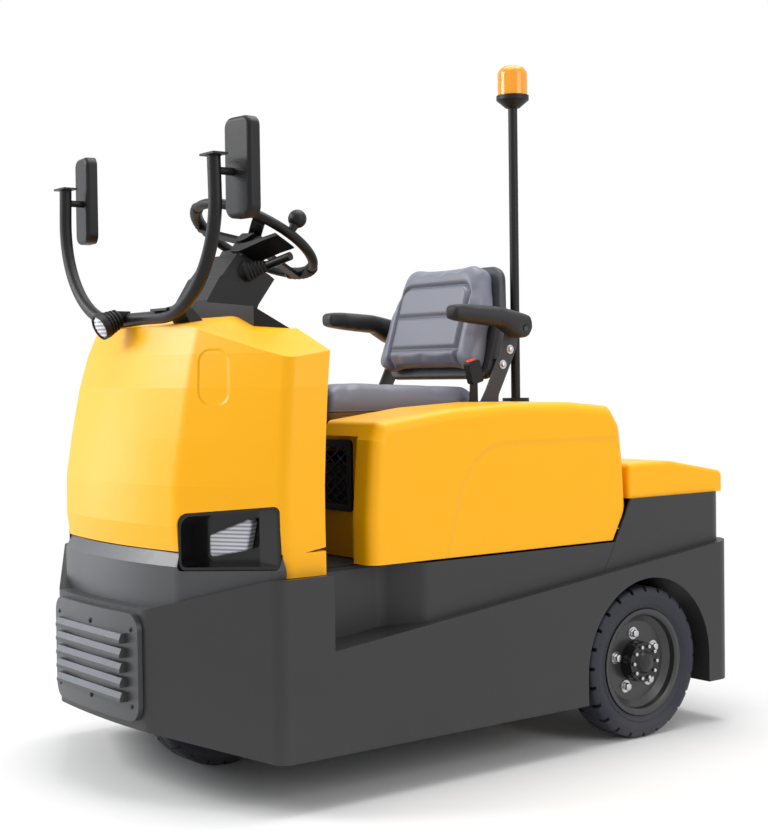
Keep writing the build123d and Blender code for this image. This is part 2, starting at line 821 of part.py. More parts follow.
# The dash box is let into the roof; its plan is shared with the opening
dash_points = (
    (-dash_half, dash_y),
    (dash_half, dash_y),
    (dash_half + 52, dash_y + 77),
    (dash_half + 52, dash_y + 160),
    (-dash_half - 52, dash_y + 160),
    (-dash_half - 52, dash_y + 77),
)
with BuildPart() as dash_space:
    with BuildSketch(Plane.XY.offset(1050)):
        Polygon(*dash_points, align=None)
        offset(amount=seam)
    extrude(amount=200)

with BuildPart() as cowl:
    add(cowl_shape(0, 0))
    add(cowl_shape(wall, 60), mode=Mode.SUBTRACT)
    with BuildSketch(Plane.XY.offset(side_top_z - 1)):
        add(prow_outline(*cowl_rows[0][1:]))
        add(prow_outline(*cowl_rows[0][1:], wall), mode=Mode.SUBTRACT)
        with Locations((0, niche_y)):
            Rectangle(2 * half_width, 300, align=(Align.CENTER, Align.MAX), mode=Mode.SUBTRACT)
        Rectangle(2 * (hood_x - 30), 2 * tip_y, mode=Mode.SUBTRACT)
    extrude(amount=cowl_bottom_z - side_top_z + 2)
    add(pod_space, mode=Mode.SUBTRACT)
    mirror(pod_space, about=Plane.YZ, mode=Mode.SUBTRACT)
    add(dash_space.part, mode=Mode.SUBTRACT)
pieces["cowl"] = cowl

# Bulkhead behind the cowl and the dash box on top of it
bulkhead_y = -606.0
with BuildPart() as bulkhead:
    with BuildSketch(Plane.XZ.offset(-bulkhead_y)):
        Polygon(
            (-riser_in, floor_z),
            (riser_in, floor_z),
            (riser_in, 725),
            (hood_x - 12, 745),
            (hood_x - 12, 850),
            (hood_x - 32, 1050),
            (-hood_x + 32, 1050),
            (-hood_x + 12, 850),
            (-hood_x + 12, 745),
            (-riser_in, 725),
            align=None,
        )
    extrude(amount=4)
pieces["bulkhead"] = bulkhead

dash_top = Plane(origin=(0, dash_y, 1202), x_dir=(1, 0, -0.0909), z_dir=(0.0909, 0.692, 1))
with BuildPart() as dash_box:
    with BuildSketch(Plane.XY.offset(1062)):
        Polygon(*dash_points, align=None)
    extrude(amount=160)
    split(bisect_by=dash_top, keep=Keep.BOTTOM)
    split(bisect_by=Plane(dash_top.origin, x_dir=(1, 0, 0.0909), z_dir=(-0.0909, 0.692, 1)), keep=Keep.BOTTOM)
    with Locations((0, (bulkhead_y + loose + dash_y) / 2, 1040)):
        Box(2 * dash_half - 40, dash_y - bulkhead_y - loose, 60, align=(Align.CENTER, Align.CENTER, Align.MIN))
pieces["dash_box"] = dash_box

# Steering console, aligned with the column, and the instrument wing below the wheel
wing_plane = Plane(
    origin=(0, steering_y, steering_z),
    x_dir=(1, 0, 0),
    z_dir=(0, -cos(radians(column_tilt)), sin(radians(column_tilt))),
)
console_half = 80.0
with BuildPart() as steering_console:
    with BuildSketch(Plane.YZ):
        Polygon(
            (-598, 1150),
            (-598, 1200),
            (-560, 1260),
            (-551, 1266),
            (-506, 1322),
            (-408, 1268),
            (-394, 1258),
            (-445, 1190),
            (-460, 1150),
            align=None,
        )
    extrude(amount=console_half, both=True)
    fillet(steering_console.edges().filter_by(Axis.X).group_by(Axis.Z)[-1], 6)
    add(dash_box.part, mode=Mode.SUBTRACT)
    with BuildSketch(wing_plane.offset(45)):
        Polygon((-50, -90), (64, -90), (64, -62), (-50, -62), align=None)
    extrude(amount=-72)
    with BuildSketch(wing_plane.offset(56)):
        Polygon(
            (15, -74),
            (61, -78),
            (97, -69.5),
            (154, -55),
            (217, -44),
            (201, -35),
            (104, -50),
            (70, -53),
            (19, -52),
            align=None,
        )
    extrude(amount=-60)
    with BuildSketch(wing_plane.offset(48)):
        Polygon((13, -56), (13, -45), (43, -25), (120, -31), (144, -43), (104, -53), align=None)
    extrude(amount=-8)
    with BuildSketch(wing_plane.offset(41)):
        Polygon((46, -56), (46, -25), (120, -31), (144, -43), (104, -53), align=None)
    extrude(amount=-38)
    with BuildSketch(wing_plane.offset(60)):
        Polygon((13, -45), (43, -24), (105, -29), (75, -42), (50, -48), align=None)
    extrude(amount=-20)
    with Locations(Location((0, steering_y, steering_z), (-column_tilt, 0, 0))):
        with Locations((0, 0, -34)):
            Cylinder(26, 60, align=(Align.CENTER, Align.CENTER, Align.MAX))
pieces["steering_console"] = steering_console

# Shift lever on the console's left side: bellows and a thick grip
grip_plane = Plane(origin=(116, -442, 1289), z_dir=(75, 24, 21))
with BuildPart() as shift_lever:
    with BuildSketch(Plane(origin=(console_half + loose, -478, 1276), z_dir=(1, 0, 0))):
        Circle(25)
    with BuildSketch(grip_plane):
        Circle(13)
    loft(ruled=True)
    with BuildSketch(grip_plane.offset(-2)):
        Circle(11)
    extrude(amount=84)
pieces["shift_lever"] = shift_lever

# Steering wheel about its own tilted axis
wheel_plane = Plane(
    origin=(0, steering_y, steering_z),
    x_dir=(1, 0, 0),
    z_dir=(0, sin(radians(column_tilt)), cos(radians(column_tilt))),
)
with BuildPart(wheel_plane) as steering_wheel:
    Torus(steering_r, steering_rim_r)
    with Locations((0, 0, -33)):
        Cylinder(34, 26, align=(Align.CENTER, Align.CENTER, Align.MIN))
    with PolarLocations(0, 3, start_angle=90):
        with Locations((steering_r / 2 + 8, 0, -14)):
            Box(steering_r - 30, 34, 9)
    with Locations((steering_r, 0, 8)):
        Cone(9, 14, 26, align=(Align.CENTER, Align.CENTER, Align.MIN))
    with Locations((steering_r, 0, 46)):
        Sphere(24)
pieces["steering_wheel"] = steering_wheel

# Floor pan, mat and pedals
with BuildPart() as floor_pan:
    with Locations((0, floor_y, floor_z - floor_t / 2)):
        Box(2 * floor_half, floor_l, floor_t)
pieces["floor_pan"] = floor_pan
with BuildPart() as floor_mat:
    with Locations((0, -478, floor_z)):
        Box(2 * floor_half - 20, 244, 3, align=(Align.CENTER, Align.CENTER, Align.MIN))
pieces["floor_mat"] = floor_mat

pedal_rows = (
    # x, width, length
    (150.0, 70.0, 110.0),
    (40.0, 80.0, 70.0),
)
with BuildPart() as pedals:
    for pedal_x, pedal_w, pedal_l in pedal_rows:
        with Locations(Location((pedal_x, -545, 620), (40, 0, 0))):
            Box(pedal_w, pedal_l, 10)
        with BuildSketch(Plane.YZ.offset(pedal_x)):
            Polygon(
                (bulkhead_y, 700),
                (bulkhead_y, 676),
                (-556, 618),
                (-536, 622),
                (-548, 640),
                (-588, 690),
                align=None,
            )
        extrude(amount=6, both=True)
pieces["pedals"] = pedals

# Hood, which carries the seat and tilts rearwards
hood_side = (
    (-418, hood_bottom_z),
    (-419, 658),
    (-404, 849),
    (-384, 893),
    (-160, 920),
    (42, 930),
    (257, hood_top_z),
    (400, 914),
    (438, 862),
    (452, 758),
    (458, 655),
    (458, hood_bottom_z),
)
hood_radii = (0, 0, 0, 18, 0, 0, 0, 24, 30, 0, 0, 0)
hood_inner = (
    (-412, hood_bottom_z - 1),
    (-413, 658),
    (-398, 849),
    (-380, 887),
    (-160, 914),
    (42, 924),
    (257, hood_top_z - wall),
    (396, 908),
    (432, 860),
    (446, 757),
    (452, 655),
    (452, hood_bottom_z - 1),
)
rear_lid_plane = slant.offset(-lid_gap)
hood_r = 30.0  # of the front corners and the top side edges


def hood_side_edges(part, at_x):
    """Edges round the front and top of the hood's two side faces."""
    sides = [edge for edge in part.edges() if abs(abs(edge.center().X) - at_x) < 1]
    return [edge for edge in sides if edge.center().Y < -380 or edge.center().Z > 870]


with BuildPart() as seat_space:
    with BuildSketch(Plane.XY.offset(deck_z)):
        add(
            closed(
                ((-deck_half, -600), (deck_half, -600), (deck_half, deck_rear_y), (-deck_half, deck_rear_y)),
                (0, 0, 50, 50),
            )
        )
    extrude(amount=200)
    with Locations((0, front_panel_y, (hood_bottom_z - 10 + deck_z) / 2)):
        Box(
            2 * front_panel_half,
            200,
            deck_z - hood_bottom_z + 10,
            align=(Align.CENTER, Align.MAX, Align.CENTER),
        )

with BuildPart() as seat_space_grown:
    with BuildSketch(Plane.XY.offset(deck_z - wall)):
        add(
            closed(
                (
                    (-deck_half - wall, -600),
                    (deck_half + wall, -600),
                    (deck_half + wall, deck_rear_y + wall),
                    (-deck_half - wall, deck_rear_y + wall),
                ),
                (0, 0, 56, 56),
            )
        )
    extrude(amount=200)
    with Locations((0, front_panel_y + wall, (hood_bottom_z - 20 + deck_z + wall) / 2)):
        Box(
            2 * (front_panel_half + wall),
            200,
            deck_z + wall - hood_bottom_z + 20,
            align=(Align.CENTER, Align.MAX, Align.CENTER),
        )

with BuildPart() as hood_hollow:
    with BuildSketch(Plane.YZ):
        add(closed(hood_inner, (0, 0, 0, 12, 0, 0, 0, 18, 24, 0, 0, 0)))
    extrude(amount=hood_x - wall, both=True)
    split(bisect_by=rear_lid_plane.offset(-wall), keep=Keep.BOTTOM)
    fillet(hood_side_edges(hood_hollow, hood_x - wall), hood_r - wall)
    add(seat_space_grown.part, mode=Mode.SUBTRACT)

with BuildPart() as hood:
    with BuildSketch(Plane.YZ):
        add(closed(hood_side, hood_radii))
    extrude(amount=hood_x, both=True)
    split(bisect_by=rear_lid_plane, keep=Keep.BOTTOM)
    fillet(hood_side_edges(hood, hood_x), hood_r)
    add(seat_space.part, mode=Mode.SUBTRACT)
    add(hood_hollow.part, mode=Mode.SUBTRACT)
    with BuildSketch(Plane.XZ.offset(-front_panel_y + 1)):
        with Locations((0, (window_bottom_z + window_top_z) / 2)):
            RectangleRounded(2 * window_half - 40, window_top_z - window_bottom_z - 34, 10)
    extrude(amount=-wall - 2, mode=Mode.SUBTRACT)
    for side in (-1, 1):
        with Locations(Location((side * hinge_x, hinge_y, hinge_z), (0, 90, 0))):
            Cylinder(hinge_barrel_r, knuckle_w)
        with Locations((side * hinge_x, hinge_y, hinge_z)):
            Box(knuckle_w, 36, 12, align=(Align.CENTER, Align.MAX, Align.CENTER))
        with Locations(Location((side * hinge_x, hinge_y, hinge_z), (0, 90, 0))):
            Cylinder(hinge_pin_r + loose, knuckle_w + 2, mode=Mode.SUBTRACT)
pieces["hood"] = hood

# Hinge blocks on the tail cover, with the pins
with BuildPart() as hood_hinge:
    for side in (-1, 1):
        for end in (-1, 1):
            block_x = side * hinge_x + end * (knuckle_w / 2 + 13)
            with Locations((block_x, hinge_y, cover_z)):
                Box(24, 2 * hinge_barrel_r, hinge_z - cover_z, align=(Align.CENTER, Align.CENTER, Align.MIN))
            with Locations(Location((block_x, hinge_y, hinge_z), (0, 90, 0))):
                Cylinder(hinge_barrel_r, 24)
        with Locations(Location((side * hinge_x, hinge_y, hinge_z), (0, 90, 0))):
            Cylinder(hinge_pin_r, knuckle_w + 50)
pieces["hood_hinge"] = hood_hinge

# Vent in the front panel: frame and diamond mesh
vent_w = 2 * window_half
vent_h = window_top_z - window_bottom_z
mesh_w = 44.0
mesh_h = 28.0
mesh_hole = ((4 - mesh_w / 2, 0), (0, mesh_h / 2 - 2.5), (mesh_w / 2 - 4, 0), (0, 2.5 - mesh_h / 2))
with BuildPart() as seat_vent:
    with BuildSketch(Plane.XZ.offset(-front_panel_y + 8)):
        with Locations((0, (window_bottom_z + window_top_z) / 2)):
            RectangleRounded(vent_w, vent_h, 12)
            RectangleRounded(vent_w - 38, vent_h - 38, 8, mode=Mode.SUBTRACT)
    extrude(amount=-7.7)
    with BuildSketch(Plane.XZ.offset(-front_panel_y + 4)):
        with Locations((0, (window_bottom_z + window_top_z) / 2)):
            Rectangle(vent_w - 38, vent_h - 38)
            with GridLocations(mesh_w, mesh_h, 16, 6):
                Polygon(*mesh_hole, mode=Mode.SUBTRACT)
            with GridLocations(mesh_w, mesh_h, 15, 5):
                Polygon(*mesh_hole, mode=Mode.SUBTRACT)
    extrude(amount=-3)
pieces["seat_vent"] = seat_vent

# Seat: base, cushion, back, shell, brackets and arms
with BuildPart() as seat_base:
    with Locations((0, -75, deck_z)):
        Box(370, 430, cushion_z - deck_z, align=(Align.CENTER, Align.CENTER, Align.MIN))
pieces["seat_base"] = seat_base

with BuildPart() as seat_cushion:
    with BuildSketch(Plane.YZ):
        add(
            closed(
                ((seat_front_y, cushion_z), (seat_rear_y, cushion_z), (seat_rear_y, 955), (140, 960), (-230, cushion_top_z), (seat_front_y, cushion_top_z - 4)),
                (8, 8, 14, 60, 100, 26),
            )
        )
    extrude(amount=seat_half, both=True)
    fillet(seat_cushion.edges().filter_by(Axis.Z), 20)
pieces["seat_cushion"] = seat_cushion

back_plane = Plane(
    origin=(0, back_y, back_z),
    x_dir=(1, 0, 0),
    z_dir=(0, -cos(radians(back_tilt)), sin(radians(back_tilt))),
)


def back_outline(grow):
    """Front view of the back, in its own plane."""
    return closed(
        (
            (-seat_half + 12 - grow, -grow),
            (seat_half - 12 + grow, -grow),
            (seat_half - 16 + grow, 190),
            (172 + grow, back_top + grow),
            (-172 - grow, back_top + grow),
            (-seat_half + 16 - grow, 190),
        ),
        (30, 30, 120, 60, 60, 120),
    )


with BuildPart() as seat_back_shell:
    with BuildSketch(back_plane):
        add(back_outline(0))
    extrude(amount=shell_t)
    fillet(seat_back_shell.faces().sort_by(Axis.Y)[-1].edges(), 10)
    with BuildSketch(back_plane.offset(3)):
        for side in (-1, 1):
            with Locations((side * (bracket_x - loose - 14), 100)):
                Rectangle(28, 90)
    extrude(amount=shell_t - 6)
pieces["seat_back_shell"] = seat_back_shell

with BuildPart() as seat_backrest:
    with BuildSketch(back_plane.offset(shell_t + loose)):
        add(back_outline(-2))
    extrude(amount=back_t)
    fillet(seat_backrest.faces().sort_by(Axis.Y)[0].edges(), 18)
    with BuildSketch(back_plane.offset(shell_t + back_t - 12)):
        for level in (88.0, 156.0, 224.0):
            with Locations((0, level)):
                Rectangle(300, 5)
        for side in (-1, 1):
            with Locations((side * 152, 156)):
                Rectangle(5, 300)
    extrude(amount=20, mode=Mode.SUBTRACT)
pieces["seat_backrest"] = seat_backrest

with BuildPart() as seat_bracket:
    with BuildSketch(Plane.YZ.offset(bracket_x)):
        add(
            closed(
                (
                    (120, deck_z),
                    (226, deck_z),
                    (229, 945),
                    (300, 1080),
                    (306, 1150),
                    (262, 1156),
                    (236, 1060),
                    (185, 960),
                ),
                (6, 6, 20, 20, 20, 20, 20, 20),
            )
        )
    extrude(amount=bracket_t)
    with Locations((bracket_x + bracket_t, 150, deck_z)):
        Box(60, 60, 8, align=(Align.MAX, Align.CENTER, Align.MIN))
    with Locations(Location((bracket_x, arm_pivot_y, arm_pivot_z), (0, 90, 0))):
        Cylinder(8, arm_x + arm_w / 2 - bracket_x - 4, align=(Align.CENTER, Align.CENTER, Align.MIN))
pieces["seat_brackets"] = pair(seat_bracket.part)

with BuildPart() as armrest_left:
    with BuildSketch(Plane.YZ.offset(arm_x - arm_w / 2)):
        add(
            closed(
                (
                    (22, 1196),
                    (24, 1152),
                    (200, 1132),
                    (262, arm_pivot_z - 30),
                    (296, arm_pivot_z - 26),
                    (312, arm_pivot_z + 2),
                    (306, 1166),
                    (200, 1188),
                ),
                (16, 14, 60, 14, 20, 16, 16, 40),
            )
        )
    extrude(amount=arm_w)
    fillet(armrest_left.faces().sort_by(Axis.X)[-1].edges(), 7)
    with Locations(Location((arm_x, arm_pivot_y, arm_pivot_z), (0, 90, 0))):
        Cylinder(8 + loose, 2 * arm_w, mode=Mode.SUBTRACT)
pieces["armrest_left"] = armrest_left
pieces["armrest_right"] = mirrored(armrest_left.part)

# Belt: buckle stalk on the left, retractor on the right
with BuildPart() as belt_buckle:
    with BuildSketch(Plane.YZ.offset(bracket_x + bracket_t + loose)):
        with Locations((128, 1010)):
            RectangleRounded(40, 62, 8, rotation=15)
    extrude(amount=24)
    with BuildSketch(Plane.YZ.offset(bracket_x + bracket_t + loose)):
        Polygon((118, deck_z), (150, deck_z), (148, 990), (124, 990), align=None)
    extrude(amount=5)
pieces["belt_buckle"] = belt_buckle

# Beacon on its mast
with BuildPart() as beacon_mast:
    with Locations((beacon_x, beacon_y, 921)):
        Cylinder(13, mast_top_z - 921, align=(Align.CENTER, Align.CENTER, Align.MIN))
    with Locations((beacon_x, beacon_y, 921)):
        Cylinder(38, 14, align=(Align.CENTER, Align.CENTER, Align.MIN))
    with Locations((beacon_x, beacon_y, mast_top_z)):
        Cone(20, 46, 22, align=(Align.CENTER, Align.CENTER, Align.MIN))
    with Locations((beacon_x, beacon_y, mast_top_z + 22)):
        Cylinder(46, 12, align=(Align.CENTER, Align.CENTER, Align.MIN))
    add(hood.part, mode=Mode.SUBTRACT)
pieces["beacon_mast"] = beacon_mast
with BuildPart() as beacon_lens:
    with Locations((beacon_x, beacon_y, mast_top_z + 34)):
        Cylinder(42, beacon_lens_h, align=(Align.CENTER, Align.CENTER, Align.MIN))
    fillet(beacon_lens.edges().group_by(Axis.Z)[-1], 26)
pieces["beacon_lens"] = beacon_lens

# Mirror frame, mirrors and the work lamp
with BuildPart() as mirror_frame:
    with BuildLine(Plane.XZ.offset(-frame_y)) as frame_path:
        FilletPolyline(
            (387, mirror_z + 27),
            (401, frame_bar_z),
            (-401, frame_bar_z),
            (-387, mirror_z + 27),
            radius=frame_bend_r,
        )
    with BuildSketch(Plane(frame_path.line @ 0, z_dir=frame_path.line % 0)):
        Circle(tube_r)
    sweep(path=frame_path.line)
    for side in (-1, 1):
        with BuildSketch(Plane.YZ.offset(side * 150)):
            Polygon(
                (frame_y - 20, frame_bar_z + 14),
                (frame_y - 20, frame_bar_z + 20),
                (frame_y + 52, frame_bar_z + 20),
                (foot_y + 36, roof_z + roof_climb * (foot_y + 36 - roof_y)),
                (foot_y, roof_z + roof_climb * (foot_y - roof_y)),
                (frame_y + 30, frame_bar_z + 14),
                align=None,
            )
        extrude(amount=40, both=True)
        with Locations((side * 387, frame_y, mirror_z + 27)):
            Box(62, 40, 5)
pieces["mirror_frame"] = mirror_frame

mirror_plane = Plane(
    origin=(mirror_x, mirror_y, mirror_z),
    x_dir=(cos(radians(mirror_yaw)), sin(radians(mirror_yaw)), 0),
    z_dir=(-sin(radians(mirror_yaw)), cos(radians(mirror_yaw)), 0),
)
rim = 6.0  # of the housing round the glass
with BuildPart() as mirror_housing:
    with BuildSketch(mirror_plane.offset(-mirror_t / 2)):
        RectangleRounded(mirror_w, mirror_h, mirror_corner)
    extrude(amount=mirror_t)
    fillet(mirror_housing.faces().sort_by(Axis.Y)[0].edges(), 11)
    with BuildSketch(mirror_plane.offset(mirror_t / 2 - 3)):
        RectangleRounded(mirror_w - 2 * rim, mirror_h - 2 * rim, mirror_corner - rim)
    extrude(amount=8, mode=Mode.SUBTRACT)
    with Locations(Location((388, mirror_y - mirror_t / 2 + 2, mirror_z - 10), (90, 0, 0))):
        Cylinder(9, 52, align=(Align.CENTER, Align.CENTER, Align.MIN))
    add(mirror_frame.part, mode=Mode.SUBTRACT)
pieces["mirror_housings"] = pair(mirror_housing.part)
with BuildPart() as mirror_glass:
    with BuildSketch(mirror_plane.offset(mirror_t / 2 - 3 + loose)):
        RectangleRounded(mirror_w - 2 * rim - 1, mirror_h - 2 * rim - 1, mirror_corner - rim - 0.5)
    extrude(amount=2.5)
pieces["mirror_glasses"] = pair(mirror_glass.part)

lamp_x = -50.0
lamp_tilt = 25.0  # downwards
with BuildPart() as work_lamp:
    with Locations(Location((lamp_x, -779, 1157), (90 + lamp_tilt, 0, 0))):
        Cone(20, 31, 48, align=(Align.CENTER, Align.CENTER, Align.MIN))
        for k in range(4):
            with Locations((0, 0, 4 + 10 * k)):
                Cylinder(25 + 2 * k, 4, align=(Align.CENTER, Align.CENTER, Align.MIN))
        with Locations((0, 0, 42)):
            Cylinder(33, 18, align=(Align.CENTER, Align.CENTER, Align.MIN))
        with Locations((0, 0, 56)):
            Cylinder(29, 10, align=(Align.CENTER, Align.CENTER, Align.MIN), mode=Mode.SUBTRACT)
    with Locations((lamp_x, frame_y - 14, frame_bar_z + 8)):
        Box(26, 36, 26)
    add(mirror_frame.part, mode=Mode.SUBTRACT)
pieces["work_lamp"] = work_lamp

for name, piece in pieces.items():
    piece.part.label = name
    export_step(piece.part, f"parts/{name}.step")
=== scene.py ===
# %% [markdown]
# # An airport tow tractor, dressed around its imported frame
# The frame holds every rigid piece at its real size. This lesson gives the pieces
# their paints, plastics and rubber, and adds what is too fine or too soft for the
# frame: stitched cushions, fasteners, lamp insides and tread detail.

# %% Load the frame
import math

import bmesh
import bpy
from mathutils import Matrix, Vector
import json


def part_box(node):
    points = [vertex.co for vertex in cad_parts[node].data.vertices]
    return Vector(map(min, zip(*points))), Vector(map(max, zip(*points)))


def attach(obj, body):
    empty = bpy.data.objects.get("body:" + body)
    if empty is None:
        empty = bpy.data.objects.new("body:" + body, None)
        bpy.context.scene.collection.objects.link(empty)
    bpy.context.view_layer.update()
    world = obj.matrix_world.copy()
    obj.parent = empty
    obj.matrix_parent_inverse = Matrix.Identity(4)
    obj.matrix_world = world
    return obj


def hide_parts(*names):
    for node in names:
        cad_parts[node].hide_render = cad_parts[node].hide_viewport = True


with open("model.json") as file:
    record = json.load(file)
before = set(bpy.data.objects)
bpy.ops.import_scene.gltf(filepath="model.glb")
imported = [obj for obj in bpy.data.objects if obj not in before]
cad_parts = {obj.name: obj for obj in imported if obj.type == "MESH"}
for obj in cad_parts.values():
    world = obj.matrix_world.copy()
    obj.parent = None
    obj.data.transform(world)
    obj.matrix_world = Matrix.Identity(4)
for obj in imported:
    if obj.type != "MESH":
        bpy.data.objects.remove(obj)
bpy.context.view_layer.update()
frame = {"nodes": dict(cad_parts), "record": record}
nodes = frame["nodes"]
left_and_right = ((1, "left"), (-1, "right"))  # +X is the driver's left

# %% [markdown]
# The camera stands where the photographer stood: about three and a half metres to
# the driver's left and a metre and a half ahead of the nose, at chest height, looking
# almost level.

# %% Camera
camera_place = (3.3879, -2.5644, 1.0040)
azimuth, dip, roll = 52.6593, 1.543, -0.7512  # degrees
focal_pixels = 1510.16
photo_height = 832.0  # pixels, the photograph's longer side

camera_data = bpy.data.cameras.new("camera")
camera = bpy.data.objects.new("camera", camera_data)
bpy.context.scene.collection.objects.link(camera)
bpy.context.scene.camera = camera
camera_data.sensor_width = 36.0
camera_data.sensor_fit = "AUTO"
camera_data.lens = focal_pixels * 36.0 / photo_height
turn, down, lean = (math.radians(a) for a in (azimuth, dip, roll))
ahead = Vector((-math.sin(turn) * math.cos(down), math.cos(turn) * math.cos(down), -math.sin(down)))
level = Vector((math.cos(turn), math.sin(turn), 0.0))
above = level.cross(ahead)
right = level * math.cos(lean) + above * math.sin(lean)
top = -level * math.sin(lean) + above * math.cos(lean)
camera.matrix_world = Matrix.Translation(camera_place) @ Matrix(
    (
        (right.x, top.x, -ahead.x, 0),
        (right.y, top.y, -ahead.y, 0),
        (right.z, top.z, -ahead.z, 0),
        (0, 0, 0, 1),
    )
)
print("lens:", round(camera_data.lens, 2), "mm")

# %% [markdown]
# The tractor stands on a plain white studio floor. The floor is white to the camera
# and keeps the soft shadow, and large lamps above and beside it give the broad
# highlights that painted steel and moulded plastic show.

# %% Floor, world and lamps
scene = bpy.context.scene
scene.view_settings.view_transform = "Standard"
fade_start, fade_end = 0.9, 1.75  # how far from the middle the floor turns white


def new_background(tree, strength):
    """A plain white background shader of the given strength."""
    shader = tree.nodes.new("ShaderNodeBackground")
    shader.inputs["Color"].default_value = (1, 1, 1, 1)
    shader.inputs["Strength"].default_value = strength
    return shader


def seen_directly(tree):
    """One where the camera, a mirror or clear glass looks, and zero for the light."""
    path = tree.nodes.new("ShaderNodeLightPath")
    last = path.outputs["Is Camera Ray"]
    for kind in ("Is Glossy Ray", "Is Transmission Ray"):
        larger = tree.nodes.new("ShaderNodeMath")
        larger.operation = "MAXIMUM"
        tree.links.new(last, larger.inputs[0])
        tree.links.new(path.outputs[kind], larger.inputs[1])
        last = larger.outputs[0]
    return last


floor_mat = bpy.data.materials.new("studio floor")
floor_mat.use_nodes = True
tree = floor_mat.node_tree
tree.nodes.clear()
out = tree.nodes.new("ShaderNodeOutputMaterial")
matte = tree.nodes.new("ShaderNodeBsdfDiffuse")
matte.inputs["Color"].default_value = (0.86, 0.86, 0.86, 1)
glow = tree.nodes.new("ShaderNodeEmission")
glow.inputs["Strength"].default_value = 1.0
blend_floor = tree.nodes.new("ShaderNodeMixShader")
# the floor under and beside the tractor keeps its shadow, and further out it turns white
coords = tree.nodes.new("ShaderNodeTexCoord")
reach = tree.nodes.new("ShaderNodeVectorMath")
reach.operation = "LENGTH"
edge = tree.nodes.new("ShaderNodeMapRange")
edge.interpolation_type = "SMOOTHSTEP"
edge.inputs["From Min"].default_value = fade_start
edge.inputs["From Max"].default_value = fade_end
share = tree.nodes.new("ShaderNodeMath")
share.operation = "MULTIPLY"
tree.links.new(coords.outputs["Object"], reach.inputs[0])
tree.links.new(reach.outputs["Value"], edge.inputs["Value"])
tree.links.new(edge.outputs["Result"], share.inputs[0])
tree.links.new(seen_directly(tree), share.inputs[1])
tree.links.new(share.outputs[0], blend_floor.inputs[0])
tree.links.new(matte.outputs[0], blend_floor.inputs[1])
tree.links.new(glow.outputs[0], blend_floor.inputs[2])
tree.links.new(blend_floor.outputs[0], out.inputs[0])

floor_mesh = bpy.data.meshes.new("floor")
floor_bm = bmesh.new()
bmesh.ops.create_grid(floor_bm, x_segments=1, y_segments=1, size=30)
floor_bm.to_mesh(floor_mesh)
floor_bm.free()
floor = bpy.data.objects.new("floor", floor_mesh)
scene.collection.objects.link(floor)
floor_mesh.materials.append(floor_mat)

world = bpy.data.worlds.new("studio")
scene.world = world
world.use_nodes = True
tree = world.node_tree
tree.nodes.clear()
out = tree.nodes.new("ShaderNodeOutputWorld")
mix = tree.nodes.new("ShaderNodeMixShader")
tree.links.new(seen_directly(tree), mix.inputs[0])
tree.links.new(new_background(tree, 0.55).outputs[0], mix.inputs[1])
tree.links.new(new_background(tree, 1.0).outputs[0], mix.inputs[2])
tree.links.new(mix.outputs[0], out.inputs[0])


def lamp(name, place, target, size, watts, colour=(1, 1, 1)):
    """A soft rectangular lamp that looks at a point."""
    data = bpy.data.lights.new(name, "AREA")
    data.shape = "RECTANGLE"
    data.size, data.size_y = size
    data.energy = watts
    data.color = colour
    obj = bpy.data.objects.new(name, data)
    obj.location = place
    obj.rotation_euler = (Vector(target) - Vector(place)).to_track_quat("-Z", "Y").to_euler()
    scene.collection.objects.link(obj)


lamp("key above the nose", (-2.6, -3.9, 3.3), (0, -0.3, 0.7), (2.6, 2.0), 190)
lamp("fill from the left side", (4.6, 1.2, 2.4), (0.2, 0.1, 0.6), (2.4, 2.4), 62)
lamp("top light", (0.2, 0.4, 4.2), (0, 0, 0.8), (3.0, 3.0), 130)
lamp("strip beside the nose", (-4.0, -3.1, 1.0), (0, -0.85, 0.5), (1.6, 1.8), 30, (0.82, 0.88, 1.0))

# %% [markdown]
# Every finish starts from the same three lines: a Principled shader, its colour and
# its roughness. Two node groups are shared. "moulded grain" is the fine leathery
# texture of injection-moulded covers and textured paint, given as a height. "road
# dust" is the pale film that settles low on a vehicle, given as a mask.

# %% Shared effects
def new_group(name, inputs, outputs):
    """An empty shader node group with named sockets and their first values."""
    group = bpy.data.node_groups.new(name, "ShaderNodeTree")
    for label, kind, value in inputs:
        socket = group.interface.new_socket(label, in_out="INPUT", socket_type=kind)
        socket.default_value = value
    for label, kind in outputs:
        group.interface.new_socket(label, in_out="OUTPUT", socket_type=kind)
    entry = group.nodes.new("NodeGroupInput")
    leave = group.nodes.new("NodeGroupOutput")
    return group, entry, leave


FLOAT = "NodeSocketFloat"

grain, entry, leave = new_group(
    "moulded grain", [("Scale", FLOAT, 900.0), ("Soften", FLOAT, 0.5)], [("Height", FLOAT), ("Mottle", FLOAT)]
)
coords = grain.nodes.new("ShaderNodeTexCoord")
cells = grain.nodes.new("ShaderNodeTexVoronoi")
cells.feature = "SMOOTH_F1"
haze = grain.nodes.new("ShaderNodeTexNoise")
haze.inputs["Scale"].default_value = 6.0
haze.inputs["Detail"].default_value = 4.0
grain.links.new(coords.outputs["Object"], cells.inputs["Vector"])
grain.links.new(coords.outputs["Object"], haze.inputs["Vector"])
grain.links.new(entry.outputs["Scale"], cells.inputs["Scale"])
grain.links.new(entry.outputs["Soften"], cells.inputs["Smoothness"])
grain.links.new(cells.outputs["Distance"], leave.inputs["Height"])
grain.links.new(haze.outputs["Fac"], leave.inputs["Mottle"])

